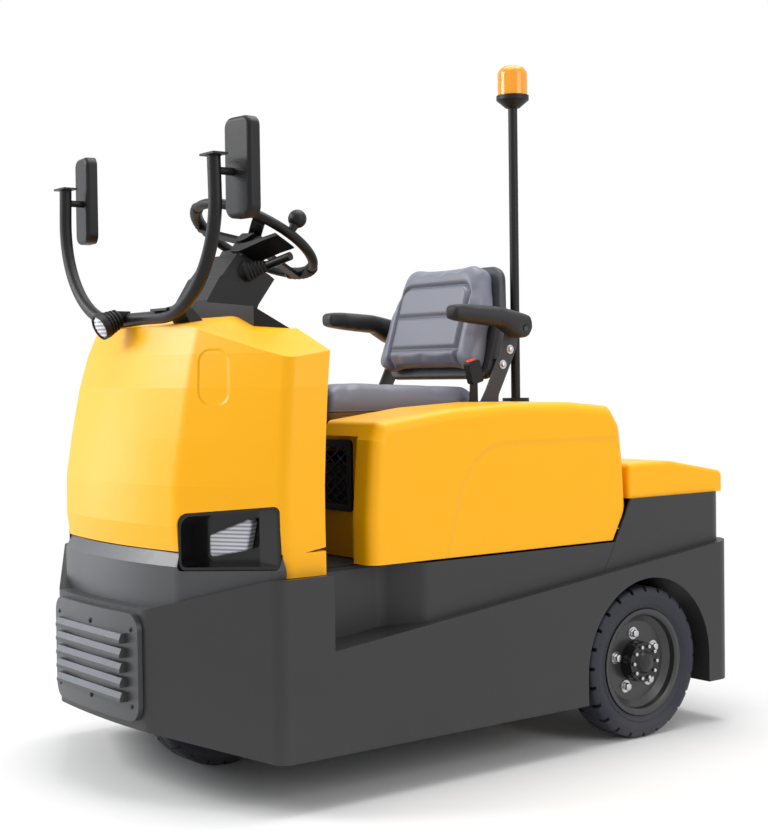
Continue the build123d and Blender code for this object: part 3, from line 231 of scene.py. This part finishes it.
dust, entry, leave = new_group("road dust", [("Top", FLOAT, 0.5), ("Amount", FLOAT, 0.3)], [("Mask", FLOAT)])
coords = dust.nodes.new("ShaderNodeTexCoord")
split_xyz = dust.nodes.new("ShaderNodeSeparateXYZ")
fade = dust.nodes.new("ShaderNodeMapRange")
patches = dust.nodes.new("ShaderNodeTexNoise")
patches.inputs["Scale"].default_value = 9.0
patches.inputs["Detail"].default_value = 6.0
times = dust.nodes.new("ShaderNodeMath")
times.operation = "MULTIPLY"
share = dust.nodes.new("ShaderNodeMath")
share.operation = "MULTIPLY"
fade.inputs["From Min"].default_value = 0.0
fade.inputs["To Min"].default_value = 1.0
fade.inputs["To Max"].default_value = 0.0
dust.links.new(coords.outputs["Object"], split_xyz.inputs[0])
dust.links.new(coords.outputs["Object"], patches.inputs["Vector"])
dust.links.new(split_xyz.outputs["Z"], fade.inputs["Value"])
dust.links.new(entry.outputs["Top"], fade.inputs["From Max"])
dust.links.new(fade.outputs["Result"], times.inputs[0])
dust.links.new(patches.outputs["Fac"], times.inputs[1])
dust.links.new(times.outputs[0], share.inputs[0])
dust.links.new(entry.outputs["Amount"], share.inputs[1])
dust.links.new(share.outputs[0], leave.inputs["Mask"])
print("shared effects:", grain.name, "and", dust.name)


# %% [markdown]
# One function makes an opaque finish from its colour, gloss, grain and dust. The
# values come from the real surfaces: semi-gloss yellow enamel, textured dark paint,
# grained plastic and tyre rubber. The seat vinyl is lighter and bluer than its own
# colour, which is a painted reflection of the lamps on its gloss.

# %% Opaque finishes
dust_colour = (0.42, 0.40, 0.37)
gloss_drift = 0.06  # how far the roughness wanders to each side
plain_scale = 60.0  # the grain group's scale where only its mottle is used


def finish(name, colour, rough, metal=0.0, grain_scale=None, grain_depth=0.0002, mottle=0.0,
           coat=0.0, coat_rough=0.1, dust_top=None, dust_amount=0.0, shine=0.25):
    """An opaque paint, plastic or rubber with its grain, slow mottle and dust."""
    mat = bpy.data.materials.new(name)
    mat.use_nodes = True
    tree = mat.node_tree
    bsdf = tree.nodes["Principled BSDF"]
    bsdf.inputs["Roughness"].default_value = rough
    bsdf.inputs["Metallic"].default_value = metal
    bsdf.inputs["Base Color"].default_value = (*colour, 1)
    bsdf.inputs["Coat Weight"].default_value = coat
    bsdf.inputs["Coat Roughness"].default_value = coat_rough
    bsdf.inputs["Specular IOR Level"].default_value = shine
    texture = tree.nodes.new("ShaderNodeGroup")
    texture.node_tree = grain
    texture.inputs["Scale"].default_value = grain_scale or plain_scale
    if grain_scale:
        bump = tree.nodes.new("ShaderNodeBump")
        bump.inputs["Strength"].default_value = 0.6
        bump.inputs["Distance"].default_value = grain_depth
        tree.links.new(texture.outputs["Height"], bump.inputs["Height"])
        tree.links.new(bump.outputs["Normal"], bsdf.inputs["Normal"])
    # a slow change of gloss keeps large faces from looking printed
    gloss = tree.nodes.new("ShaderNodeMapRange")
    gloss.inputs["To Min"].default_value = max(0.02, rough - gloss_drift)
    gloss.inputs["To Max"].default_value = min(1.0, rough + gloss_drift)
    tree.links.new(texture.outputs["Mottle"], gloss.inputs["Value"])
    tree.links.new(gloss.outputs["Result"], bsdf.inputs["Roughness"])
    tone = tree.nodes.new("ShaderNodeMix")
    tone.data_type = "RGBA"
    tone.inputs["A"].default_value = (*[c * (1 - mottle) for c in colour], 1)
    tone.inputs["B"].default_value = (*[min(1.0, c * (1 + mottle)) for c in colour], 1)
    tree.links.new(texture.outputs["Mottle"], tone.inputs["Factor"])
    last = tone.outputs["Result"]
    if dust_top is not None:
        film = tree.nodes.new("ShaderNodeGroup")
        film.node_tree = dust
        film.inputs["Top"].default_value = dust_top
        film.inputs["Amount"].default_value = dust_amount
        over = tree.nodes.new("ShaderNodeMix")
        over.data_type = "RGBA"
        over.inputs["B"].default_value = (*dust_colour, 1)
        tree.links.new(last, over.inputs["A"])
        tree.links.new(film.outputs["Mask"], over.inputs["Factor"])
        last = over.outputs["Result"]
    tree.links.new(last, bsdf.inputs["Base Color"])
    return mat


finishes = {
    "yellow_paint": finish("yellow enamel", (0.94, 0.43, 0.0008), 0.36, mottle=0.015, shine=0.3),
    "dark_cast_paint": finish(
        "textured dark paint", (0.024, 0.024, 0.0255), 0.42, grain_scale=700, grain_depth=0.0003,
        mottle=0.05, dust_top=0.3, dust_amount=0.03, shine=0.4,
    ),
    "chassis_paint": finish(
        "black chassis paint", (0.008, 0.008, 0.010), 0.45, mottle=0.1, dust_top=0.4, dust_amount=0.08
    ),
    "drive_paint": finish(
        "cast drive housings", (0.04, 0.04, 0.042), 0.6, grain_scale=400, grain_depth=0.0006,
        mottle=0.1, dust_top=0.4, dust_amount=0.15,
    ),
    "hub_paint": finish("black hub", (0.008, 0.008, 0.009), 0.25, mottle=0.1, shine=0.4),
    "rim_paint": finish(
        "dark grey rim", (0.020, 0.020, 0.022), 0.30, mottle=0.06, dust_top=0.3, dust_amount=0.04, shine=0.6
    ),
    "tyre_rubber": finish(
        "tyre rubber", (0.020, 0.021, 0.031), 0.58, grain_scale=500, grain_depth=0.0003,
        mottle=0.15, dust_top=0.08, dust_amount=0.2, shine=0.35,
    ),
    "mat_rubber": finish("floor mat rubber", (0.02, 0.02, 0.02), 0.75, grain_scale=300, mottle=0.1),
    "black_plastic": finish(
        "grained black plastic", (0.0065, 0.0065, 0.0075), 0.42, grain_scale=1100, grain_depth=0.00025,
        mottle=0.06,
    ),
    "pod_plastic": finish("gloss black plastic", (0.006, 0.006, 0.007), 0.12, shine=0.4),
    "tail_lens": finish("red lens", (0.35, 0.008, 0.008), 0.12, coat=0.6, coat_rough=0.05),
    # the seat vinyl is a lighter, bluer grey than its own near-black: a painted reflection of the lamps on
    # the glossy seat
    "seat_vinyl": finish(
        "grained seat vinyl with painted sheen", (0.150, 0.158, 0.20), 0.40, grain_scale=520, grain_depth=0.0004,
        mottle=0.06, shine=0.5,
    ),
    "shell_plastic": finish(
        "seat shell plastic", (0.05, 0.052, 0.06), 0.40, grain_scale=900, grain_depth=0.0003, mottle=0.06
    ),
    "bright_steel": finish("bright zinc steel", (0.55, 0.55, 0.56), 0.28, metal=1.0, mottle=0.06),
    "mirror_face": finish("mirror silver", (0.86, 0.87, 0.88), 0.03, metal=1.0),
    "battery_case": finish("battery case", (0.05, 0.06, 0.07), 0.6, mottle=0.1),
    "grey_plastic": finish(
        "textured grey plastic", (0.034, 0.035, 0.039), 0.34, grain_scale=900, grain_depth=0.0002,
        mottle=0.05, shine=0.6,
    ),
    "arm_vinyl": finish(
        "black arm vinyl", (0.022, 0.022, 0.024), 0.42, grain_scale=620, grain_depth=0.0004, mottle=0.08
    ),
    "red_button": finish("orange-red button", (0.80, 0.075, 0.01), 0.25, shine=0.5),
}
print("finishes:", len(finishes))


# %% [markdown]
# Clear and amber plastics let light through, so they use transmission. The same cell
# then gives every node of the frame the finish that its slot names.

# %% Clear finishes, and dressing the frame
def clear_finish(name, colour, rough, transmission):
    """A plastic that lets a share of the light through."""
    mat = bpy.data.materials.new(name)
    mat.use_nodes = True
    bsdf = mat.node_tree.nodes["Principled BSDF"]
    bsdf.inputs["Base Color"].default_value = (*colour, 1)
    bsdf.inputs["Roughness"].default_value = rough
    bsdf.inputs["IOR"].default_value = 1.49
    bsdf.inputs["Transmission Weight"].default_value = transmission
    return mat


finishes["lamp_glass"] = clear_finish("headlamp glass", (0.78, 0.80, 0.86), 0.10, 0.15)
# the LED unit behind its clear face shows as level bands
tree = finishes["lamp_glass"].node_tree
coords = tree.nodes.new("ShaderNodeTexCoord")
bands = tree.nodes.new("ShaderNodeTexWave")
bands.bands_direction = "Z"
bands.inputs["Scale"].default_value = 34.0
bands.inputs["Distortion"].default_value = 0.0
ramp = tree.nodes.new("ShaderNodeMix")
ramp.data_type = "RGBA"
ramp.inputs["A"].default_value = (0.30, 0.32, 0.37, 1)
ramp.inputs["B"].default_value = (0.86, 0.88, 0.93, 1)
tree.links.new(coords.outputs["Object"], bands.inputs["Vector"])
tree.links.new(bands.outputs["Fac"], ramp.inputs["Factor"])
tree.links.new(ramp.outputs["Result"], tree.nodes["Principled BSDF"].inputs["Base Color"])
finishes["beacon_amber"] = clear_finish("amber dome", (1.0, 0.42, 0.012), 0.12, 0.55)

# the nose's covers are greyer and glossier than the other black mouldings
own_finish = {"louvre_cover": "grey_plastic", "nose_apron": "grey_plastic"}
for node, obj in nodes.items():
    slot_name = next(s["material_slot"] for s in frame["record"]["subparts"] if s["node"] == node)
    for slot in obj.material_slots:
        slot.material = finishes[own_finish.get(node, slot_name)]
print("dressed nodes:", len(nodes))

# %% [markdown]
# New pieces are small bmesh models: a few vertices or one create_ shape, then spin
# and bevel. Three helpers do what every piece needs: one writes the mesh and
# puts it on the body that carries it, one turns a profile about an axis, and one adds
# a hexagon bolt with its washer.

# %% Helpers for new pieces
def keep(name, bm, slot, body, sharp=35.0):
    """Write a bmesh to an object that rides on a body and takes a slot's finish."""
    bmesh.ops.remove_doubles(bm, verts=bm.verts, dist=1e-5)
    bmesh.ops.recalc_face_normals(bm, faces=bm.faces)
    mesh = bpy.data.meshes.new(name)
    bm.to_mesh(mesh)
    bm.free()
    mesh.materials.append(finishes[slot])
    mesh.shade_smooth()
    mesh.set_sharp_from_angle(angle=math.radians(sharp))
    obj = bpy.data.objects.new(name, mesh)
    scene.collection.objects.link(obj)
    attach(obj, body)
    return obj


def aim(place, along):
    """A matrix that puts local Z along a direction, at a place."""
    return Matrix.Translation(place) @ Vector(along).to_track_quat("Z", "Y").to_matrix().to_4x4()


def lathe(bm, profile, place, along, steps=48):
    """Turn (radius, height) points about an axis, and add the closed ring of faces."""
    first = [bm.verts.new((radius, 0, height)) for radius, height in profile]
    edges = [bm.edges.new(pair) for pair in zip(first, first[1:])]
    bmesh.ops.spin(
        bm, geom=first + edges, cent=(0, 0, 0), axis=(0, 0, 1), angle=2 * math.pi, steps=steps, use_merge=True
    )
    turned = {v for f in bm.faces for v in f.verts if not f.tag}
    for face in bm.faces:
        face.tag = True
    bmesh.ops.transform(bm, matrix=aim(place, along), verts=list(turned))


def bolt(bm, place, along, across=0.013, head=0.006, washer=True):
    """A hexagon head with a chamfered top on a thin washer."""
    spot = aim(place, along)
    if washer:
        bmesh.ops.create_cone(
            bm, cap_ends=True, segments=24, radius1=across * 0.92, radius2=across * 0.90,
            depth=0.0016, matrix=spot @ Matrix.Translation((0, 0, 0.0008)),
        )
    corner_r = across * 0.577  # from the middle to a corner of the hexagon
    made = bmesh.ops.create_cone(
        bm, cap_ends=True, segments=6, radius1=corner_r, radius2=corner_r,
        depth=head, matrix=spot @ Matrix.Translation((0, 0, head / 2 + 0.0014)),
    )
    rim = {e for v in made["verts"] for e in v.link_edges}
    bmesh.ops.bevel(
        bm, geom=list(rim), offset=across * 0.06, segments=2, profile=0.5, affect="EDGES", material=-1
    )


# %% [markdown]
# An industrial tyre has deep notches across each shoulder, staggered from side to
# side, a fine rib round the sidewall and rounded shoulders. One profile is spun, and
# then two of every six columns sink on the shoulder to make the notches, so the lugs
# stay part of one closed skin.

# %% Tyres with shoulder lugs
columns = 6  # rows of points in one pitch, four on the lug and two in the notch
column_turns = (0.0, 0.27, 0.54, 0.80, 0.825, 0.975)  # where they stand, in pitches
notch_depth = 0.0132
notch_reach = 0.033  # how far a notch runs in from the sidewall
middle_half = 0.003  # half the width of the fine groove round the middle
rear_radius, rear_track, rear_axle_y = 0.2075, 0.4875, 0.5
front_radius, front_axle_y = 0.2, -0.54


def tyre(name, node, body, place, radius, width, bore, pitches=24):
    """A lugged tyre in place of a plain one, spun from (radius, sideways) points."""
    half = width / 2
    side = [
        # bead and fine rib on the sidewall
        (bore, half - 0.012), (bore + 0.0108, half - 0.012), (bore + 0.016, half - 0.0075),
        (bore + 0.024, half - 0.0045), (bore + 0.0265, half - 0.0026), (bore + 0.029, half - 0.0038),
        # upper sidewall and round shoulder
        (radius - 0.030, half - 0.0008), (radius - 0.0245, half), (radius - 0.0180, half - 0.0012),
        (radius - 0.0135, half - 0.0025), (radius - 0.0060, half - 0.0055), (radius - 0.0015, half - 0.010),
        # tread, with a pair of points at the end of the notches
        (radius, half - 0.016), (radius, half - 0.0325), (radius, half - 0.0335),
        (radius, middle_half), (radius - 0.003, 0.0022),
    ]
    profile = side + [(r, -x) for r, x in reversed(side)]
    bm = bmesh.new()
    verts = [bm.verts.new((0, r, x)) for r, x in profile]
    edges = [bm.edges.new(pair) for pair in zip(verts, verts[1:] + verts[:1])]
    bmesh.ops.spin(bm, geom=verts + edges, cent=(0, 0, 0), axis=(0, 0, 1), angle=2 * math.pi,
                   steps=columns * pitches, use_merge=True)
    bmesh.ops.remove_doubles(bm, verts=bm.verts, dist=1e-6)
    pitch = 2 * math.pi / pitches
    turns = [share * pitch for share in column_turns]
    notch_floor = radius - notch_depth
    for vert in bm.verts:
        x, r = vert.co.z, math.hypot(vert.co.x, vert.co.y)
        column = round(math.atan2(vert.co.y, vert.co.x) / (pitch / columns)) % (columns * pitches)
        # the far side is half a pitch on, which staggers the lugs
        stagger = (pitch / 2 if x < 0 else 0.0) * min(1, abs(x) / middle_half)
        angle = (column // columns) * pitch + turns[column % columns] + stagger
        if column % columns >= 4 and abs(x) > half - notch_reach + 1e-5 and r > notch_floor:
            r = notch_floor
        vert.co = (math.cos(angle) * r, math.sin(angle) * r, x)
    bmesh.ops.transform(bm, matrix=aim(place, (1, 0, 0)), verts=bm.verts)
    obj = keep(name, bm, "tyre_rubber", body, sharp=32)
    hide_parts(node)
    return obj


tyres = [
    tyre(f"lugged_tyre_{label}", f"rear_tyre_{label}", f"rear_wheel_{label}",
         (side * rear_track, rear_axle_y, rear_radius), rear_radius, 0.105, 0.135)
    for side, label in left_and_right
]
tyres.append(tyre("lugged_tyre_front", "front_tyre", "front_wheel",
                  (0, front_axle_y, front_radius), front_radius, 0.096, 0.125))
print("tyre faces:", [len(t.data.polygons) for t in tyres])

# %% [markdown]
# The drive wheels are held by five bright nuts on the disc, and the hub has a ring of
# ten small bolts. They are one joined piece a wheel, turned with the wheel.

# %% Wheel nuts and hub bolts
# how many, first angle, circle radius, face's distance from the middle, across, height, washer
wheel_nuts = (5, 24, 0.077, 0.5002, 0.019, 0.013, True)
hub_bolts = (10, 0, 0.0445, 0.5362, 0.0095, 0.0055, False)
for side, label in left_and_right:
    bm = bmesh.new()
    for count, first, circle, face_x, across, head, washer in (wheel_nuts, hub_bolts):
        for k in range(count):
            turn_k = math.radians(first + 360 // count * k)
            place = (
                side * face_x,
                rear_axle_y + circle * math.cos(turn_k),
                rear_radius + circle * math.sin(turn_k),
            )
            bolt(bm, place, Vector((side, 0, 0)), across, head, washer)
    obj = keep(f"wheel_nuts_{label}", bm, "bright_steel", f"rear_wheel_{label}")
print("wheel nuts:", len(obj.data.polygons), "faces a side")

# %% [markdown]
# The louvred cover in the nose is held by six round-headed screws, and two bolts hold
# each seat bracket. Both are set on the face that carries them.

# %% Screws and bracket bolts
rib_depth = 0.0122  # from the ribs' tips to the cover's face
cover_bow, cover_half = 0.0135, 0.22  # the face falls back towards its sides
screw_head = ((0.0, 0.0042), (0.0035, 0.0038), (0.0062, 0.0020), (0.0070, 0.0), (0.0, 0.0))
bm = bmesh.new()
for x in (-0.192, 0.0, 0.192):
    for z in (0.227, 0.411):
        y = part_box("louvre_cover")[0][1] + rib_depth + cover_bow * (x / cover_half) ** 2
        lathe(bm, screw_head, (x, y, z), (0, -1, 0), 20)
keep("louvre_screws", bm, "black_plastic", "chassis")

bm = bmesh.new()
for side in (-1, 1):
    for y, z in ((0.245, 1.030), (0.272, 1.072)):
        bolt(bm, (side * 0.2522, y, z), (side, 0, 0), 0.014, 0.007)
bracket_bolts = keep("bracket_bolts", bm, "bright_steel", "hood")
print("bracket bolts:", len(bracket_bolts.data.polygons), "faces")

# %% [markdown]
# The seat is real upholstery: foam under grained vinyl that swells between its seams.
# Each pad starts as a slightly shrunken copy of its rigid solid, is remeshed finely
# and blown up with cloth pressure, which rounds it the way foam does. How far a point
# may move is capped. The sewn channels are pressed in afterwards, because the remesh
# would close them.

# %% Padded pieces
cloth_frames = 20
foam_pressure = 4.0


def bake(obj):
    """Apply every modifier of an object to its mesh."""
    whole = bpy.data.meshes.new_from_object(obj.evaluated_get(bpy.context.evaluated_depsgraph_get()))
    obj.modifiers.clear()
    obj.data = whole


def upholstered(name, node, body, voxel, shrink, cap, skin="seat_vinyl"):
    """A cloth-inflated pad in the space of a soft solid."""
    mesh = nodes[node].data.copy()
    obj = bpy.data.objects.new(name, mesh)
    scene.collection.objects.link(obj)
    bm = bmesh.new()
    bm.from_mesh(mesh)
    bmesh.ops.remove_doubles(bm, verts=bm.verts, dist=1e-5)
    low, high = (Vector(corner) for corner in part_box(node))
    middle, size = (low + high) / 2, high - low
    scale = [max(0.5, 1 - 2 * shrink / size[i]) for i in range(3)]
    for vert in bm.verts:
        vert.co = middle + Vector((vert.co - middle)[i] * scale[i] for i in range(3))
    bm.to_mesh(mesh)
    bm.free()
    mesh.materials.clear()
    mesh.materials.append(finishes[skin])
    remesh = obj.modifiers.new("remesh", "REMESH")
    remesh.mode = "VOXEL"
    remesh.voxel_size = voxel
    bake(obj)
    start = [v.co.copy() for v in obj.data.vertices]
    cloth = obj.modifiers.new("cloth", "CLOTH")
    cloth.settings.quality = 4
    cloth.settings.mass = 0.3
    cloth.settings.use_pressure = True
    cloth.settings.uniform_pressure_force = foam_pressure
    cloth.settings.effector_weights.gravity = 0.0
    cloth.collision_settings.use_collision = False
    for step in range(1, cloth_frames + 1):
        scene.frame_set(step)
    bake(obj)
    for vert, old in zip(obj.data.vertices, start):
        move = vert.co - old
        if move.length > cap:
            vert.co = old + move * (cap / move.length)
    scene.frame_set(1)
    ease = obj.modifiers.new("ease", "SMOOTH")
    ease.factor = 0.5
    ease.iterations = 14
    smooth = obj.modifiers.new("smooth", "SUBSURF")
    smooth.levels = smooth.render_levels = 1
    bake(obj)
    obj.data.shade_smooth()
    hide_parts(node)
    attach(obj, body)
    return obj


cushion = upholstered("padded_cushion", "seat_cushion", "hood", 0.006, 0.007, 0.012)
backrest = upholstered("padded_backrest", "seat_backrest", "hood", 0.006, 0.007, 0.014)
arm_pads = [
    upholstered(f"padded_armrest_{label}", f"armrest_{label}", f"armrest_{label}",
                0.005, 0.003, 0.006, "arm_vinyl")
    for side, label in left_and_right
]
print("pad faces:", [len(p.data.polygons) for p in (cushion, backrest, *arm_pads)])

# %% [markdown]
# The back has a panel of three stacked pads between two side bolsters. The sewing
# pulls the vinyl about a centimetre into the foam, so each channel is pressed as a
# soft groove along its line, and the panel and the bolsters swell a little beside it.

# %% Sewn channels of the back and the cushion
def rounded(across, up, half_w, half_h, corner):
    """Signed distance to a rounded rectangle, negative inside."""
    qx, qy = abs(across) - half_w + corner, abs(up) - half_h + corner
    return math.hypot(max(qx, 0), max(qy, 0)) + min(max(qx, qy), 0) - corner


def groove(distance, width):
    """One on a seam, falling smoothly to zero beside it."""
    return math.exp(-((distance / width) ** 2))


seam_width = 0.0065
panel_up, panel_half, panel_corner = 0.105, 0.150, 0.034
panel_seams = (0.065, 0.163)  # the level seams between the three pads, up the back
lean_back = math.radians(17.7)
back_out = Vector((0, -math.cos(lean_back), math.sin(lean_back)))
back_up = Vector((0, math.sin(lean_back), math.cos(lean_back)))
back_foot = Vector((0, 0.234, 0.987))
for vert in backrest.data.vertices:
    away = vert.co - back_foot
    across, up, out_by = away.x, away.dot(back_up), away.dot(back_out)
    front = min(1.0, max(0.0, (out_by - 0.055) / 0.02))
    panel = rounded(across, up - panel_up, panel_half, panel_half, panel_corner)
    sink = 0.011 * groove(panel, seam_width)
    if panel < 0:
        for height in panel_seams:
            sink = max(sink, 0.010 * groove(up - height, seam_width))
        sink -= 0.004
    sink -= 0.007 * min(1.0, max(0.0, panel / 0.05))
    vert.co -= back_out * (sink * front)
for vert in cushion.data.vertices:
    x, y, z = vert.co
    top_face = min(1.0, max(0.0, (z - 0.945) / 0.02))
    seat_panel = rounded(x, y + 0.06, 0.150, 0.215, 0.05)
    sink = 0.009 * groove(seat_panel, 0.008) - 0.004 * min(1.0, max(0.0, seat_panel / 0.05))
    vert.co.z -= sink * top_face
print("back and cushion seams pressed")


# %% [markdown]
# A welt runs round the cushion just above its base. It is a thin bead sewn into the
# seam, made here as a closed curve with a round section and then turned into a mesh.

# %% Welt of the cushion
def welt(name, points, radius, slot, body):
    """A closed smooth tube through points."""
    curve = bpy.data.curves.new(name, "CURVE")
    curve.dimensions = "3D"
    curve.bevel_depth = radius
    curve.bevel_resolution = 3
    curve.resolution_u = 6
    line = curve.splines.new("NURBS")
    line.points.add(len(points) - 1)
    for spot, place in zip(line.points, points):
        spot.co = (*place, 1)
    line.use_cyclic_u = True
    line.order_u = 3
    holder = bpy.data.objects.new(name + "_path", curve)
    mesh = bpy.data.meshes.new_from_object(holder)
    bpy.data.objects.remove(holder)
    mesh.materials.clear()
    mesh.materials.append(finishes[slot])
    mesh.shade_smooth()
    obj = bpy.data.objects.new(name, mesh)
    scene.collection.objects.link(obj)
    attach(obj, body)
    return obj


welt_corner, welt_z = 0.040, 0.912
corner_x, corner_rear_y, corner_front_y = 0.200, 0.150, -0.300
seat_line = []
for side, middle_y, turn_from in (
    (1, corner_rear_y, 0), (-1, corner_rear_y, 90), (-1, corner_front_y, 180), (1, corner_front_y, 270)
):
    for step in range(4):
        a = math.radians(turn_from + 30 * step)
        seat_line.append(
            (side * corner_x + welt_corner * math.cos(a), middle_y + welt_corner * math.sin(a), welt_z)
        )
welt("cushion_welt", seat_line, 0.003, "shell_plastic", "hood")

# %% [markdown]
# The belt buckle stands beside the cushion and shows its orange-red release button.

# %% Release button
button_place, button_size = (0.2643, 0.1185, 1.0385), (0.016, 0.026, 0.012)
bm = bmesh.new()
bmesh.ops.create_cube(bm, size=1.0, matrix=Matrix.Translation(button_place)
                      @ Matrix.Rotation(math.radians(15), 4, "X") @ Matrix.Diagonal((*button_size, 1)))
bmesh.ops.bevel(bm, geom=bm.edges[:], offset=0.003, segments=3, profile=0.5, affect="EDGES", material=-1)
keep("buckle_button", bm, "red_button", "hood")

# %% [markdown]
# The steering rim has two stretches of finger grips. Each is a row of rings of
# slightly changing size, bridged into one ribbed sleeve over the rim. The lever's
# rubber boot and the work lamp's domed lens are turned from their profiles.

# %% Finger grips, lever boot and work-lamp lens
wheel_middle = Vector((0, -0.403, 1.368))
tilt = math.radians(30.2)
wheel_frame = Matrix.Translation(wheel_middle) @ Matrix.Rotation(-tilt, 4, "X")
rim_radius = 0.169
grip_starts = (62, 206)  # degrees round the rim
grip_rings, ring_step = 25, 1.9  # rings in a grip, and degrees between them
grip_end = 0.0134
grip_swell = (0.0142, 0.0142 + 0.0024, 0.0142 + 0.0016)  # every third ring repeats
bm = bmesh.new()
for start in grip_starts:
    rings = []
    for k in range(grip_rings):
        fat = grip_end if k in (0, grip_rings - 1) else grip_swell[k % 3]
        spot = (
            Matrix.Rotation(math.radians(start + ring_step * k), 4, "Z")
            @ Matrix.Translation((rim_radius, 0, 0))
            @ Matrix.Rotation(math.radians(90), 4, "X")
        )
        ring = bmesh.ops.create_circle(
            bm, cap_ends=False, segments=20, radius=fat, matrix=wheel_frame @ spot
        )["verts"]
        rings.append({e for v in ring for e in v.link_edges})
    for one, two in zip(rings, rings[1:]):
        bmesh.ops.bridge_loops(bm, edges=list(one | two))
grips = keep("rim_grips", bm, "black_plastic", "steering_wheel", sharp=60)

lever_foot, lever_along = (0.0803, -0.478, 1.276), (35.7, 36, 13)
bm = bmesh.new()
boot = [(0.0, -0.001), (0.0265, -0.001)]
for k in range(6):
    wide = 0.0275 - 0.0022 * k
    boot += [(wide, 0.0035 + 0.009 * k), (wide - 0.0045, 0.008 + 0.009 * k)]
boot += [(0.0125, 0.058), (0.0, 0.058)]
lathe(bm, boot, lever_foot, lever_along, 40)
keep("lever_boot", bm, "mat_rubber", "chassis", sharp=60)

lamp_place = (-0.050, -0.779, 1.157)
lamp_dip = math.radians(25)
beam = Vector((0, -math.cos(lamp_dip), -math.sin(lamp_dip)))
dome = ((0, 0.0625), (0.010, 0.0620), (0.020, 0.0600), (0.0265, 0.0572), (0.0285, 0.0562), (0, 0.0562))
bm = bmesh.new()
lathe(bm, dome, lamp_place, beam, 40)
keep("work_lamp_lens", bm, "lamp_glass", "chassis")
print("rim grips:", len(grips.data.polygons), "faces")

# %% [markdown]
# Pressed shapes in the yellow panels are a few millimetres deep with soft edges. They
# are given as a height to the paint: a rounded outline, measured on the piece itself,
# is one inside and zero outside, and a Bump node turns it into a change of slope.

# %% Pressed outlines in the paint
outline, entry, leave = new_group(
    "pressed outline",
    [
        ("Across", FLOAT, 0.0), ("Up", FLOAT, 0.0), ("Half width", FLOAT, 0.1),
        ("Half height", FLOAT, 0.1), ("Corner", FLOAT, 0.02), ("Softness", FLOAT, 0.004),
    ],
    [("Mask", FLOAT)],
)


def reckon(tree, kind, *values):
    """A Math node fed by sockets or numbers."""
    node = tree.nodes.new("ShaderNodeMath")
    node.operation = kind
    for at, value in enumerate(values):
        if hasattr(value, "links"):
            tree.links.new(value, node.inputs[at])
        else:
            node.inputs[at].default_value = value
    return node.outputs[0]


sides = []
for name, half in (("Across", "Half width"), ("Up", "Half height")):
    inset = reckon(outline, "SUBTRACT", entry.outputs[half], entry.outputs["Corner"])
    sides.append(reckon(outline, "SUBTRACT", reckon(outline, "ABSOLUTE", entry.outputs[name]), inset))
outer = [reckon(outline, "MAXIMUM", q, 0.0) for q in sides]
squares = [reckon(outline, "MULTIPLY", q, q) for q in outer]
corner_part = reckon(outline, "SQRT", reckon(outline, "ADD", *squares))
inner = reckon(outline, "MINIMUM", reckon(outline, "MAXIMUM", *sides), 0.0)
away = reckon(outline, "SUBTRACT", reckon(outline, "ADD", corner_part, inner), entry.outputs["Corner"])
softness = entry.outputs["Softness"]
soft_part = reckon(outline, "DIVIDE", reckon(outline, "SUBTRACT", softness, away), softness)
mask = outline.nodes.new("ShaderNodeMapRange")
mask.interpolation_type = "SMOOTHSTEP"
mask.inputs["From Max"].default_value = 2.0
outline.links.new(soft_part, mask.inputs["Value"])
outline.links.new(mask.outputs["Result"], leave.inputs["Mask"])


def press(mat, direction, shift, up_middle, half_w, half_h, corner, soft, depth):
    """Add a pressed outline to a paint; direction and shift place it across the face."""
    tree = mat.node_tree
    bsdf = tree.nodes["Principled BSDF"]
    split = tree.nodes.new("ShaderNodeSeparateXYZ")
    tree.links.new(tree.nodes.new("ShaderNodeTexCoord").outputs["Object"], split.inputs[0])
    across = reckon(tree, "MULTIPLY_ADD", reckon(tree, "ABSOLUTE", split.outputs["X"]), direction[0], -shift)
    across = reckon(tree, "MULTIPLY_ADD", split.outputs["Y"], direction[1], across)
    across = reckon(tree, "MULTIPLY_ADD", split.outputs["Z"], direction[2], across)
    shape = tree.nodes.new("ShaderNodeGroup")
    shape.node_tree = outline
    sizes = {"Half width": half_w, "Half height": half_h, "Corner": corner, "Softness": soft}
    for label, value in sizes.items():
        shape.inputs[label].default_value = value
    tree.links.new(across, shape.inputs["Across"])
    tree.links.new(reckon(tree, "SUBTRACT", split.outputs["Z"], up_middle), shape.inputs["Up"])
    bump = tree.nodes.new("ShaderNodeBump")
    bump.inputs["Strength"].default_value = 1.0
    bump.inputs["Distance"].default_value = abs(depth)
    bump.invert = depth < 0
    tree.links.new(shape.outputs["Mask"], bump.inputs["Height"])
    tree.links.new(bump.outputs["Normal"], bsdf.inputs["Normal"])


hood_paint = finishes["yellow_paint"].copy()
hood_paint.name = "yellow enamel with the hood's pressing"
# the front edge of the hood's pressing leans, and passes through this point of the side
edge_y, edge_z, edge_lean, hood_half = -0.14, 0.70, 0.30, 0.62
press(hood_paint, (0.0, 1.0, -edge_lean), edge_y - edge_lean * edge_z + hood_half,
      0.476, hood_half, 0.35, 0.11, 0.010, -0.004)
nodes["hood"].material_slots[0].material = hood_paint
cowl_paint = finishes["yellow_paint"].copy()
cowl_paint.name = "yellow enamel with the cowl's pressings"
pocket_z, pocket_rise = 1.005, 0.12  # the middle of the cowl's oval pressing
press(cowl_paint, (0.87, 0.49, pocket_rise), -0.067 + pocket_rise * pocket_z,
      pocket_z, 0.040, 0.0645, 0.030, 0.004, -0.003)
nodes["cowl"].material_slots[0].material = cowl_paint
print("pressed outlines on:", hood_paint.name, "and", cowl_paint.name)

# %% [markdown]
# The last cell hands the scene over.

# %% Finish
import json
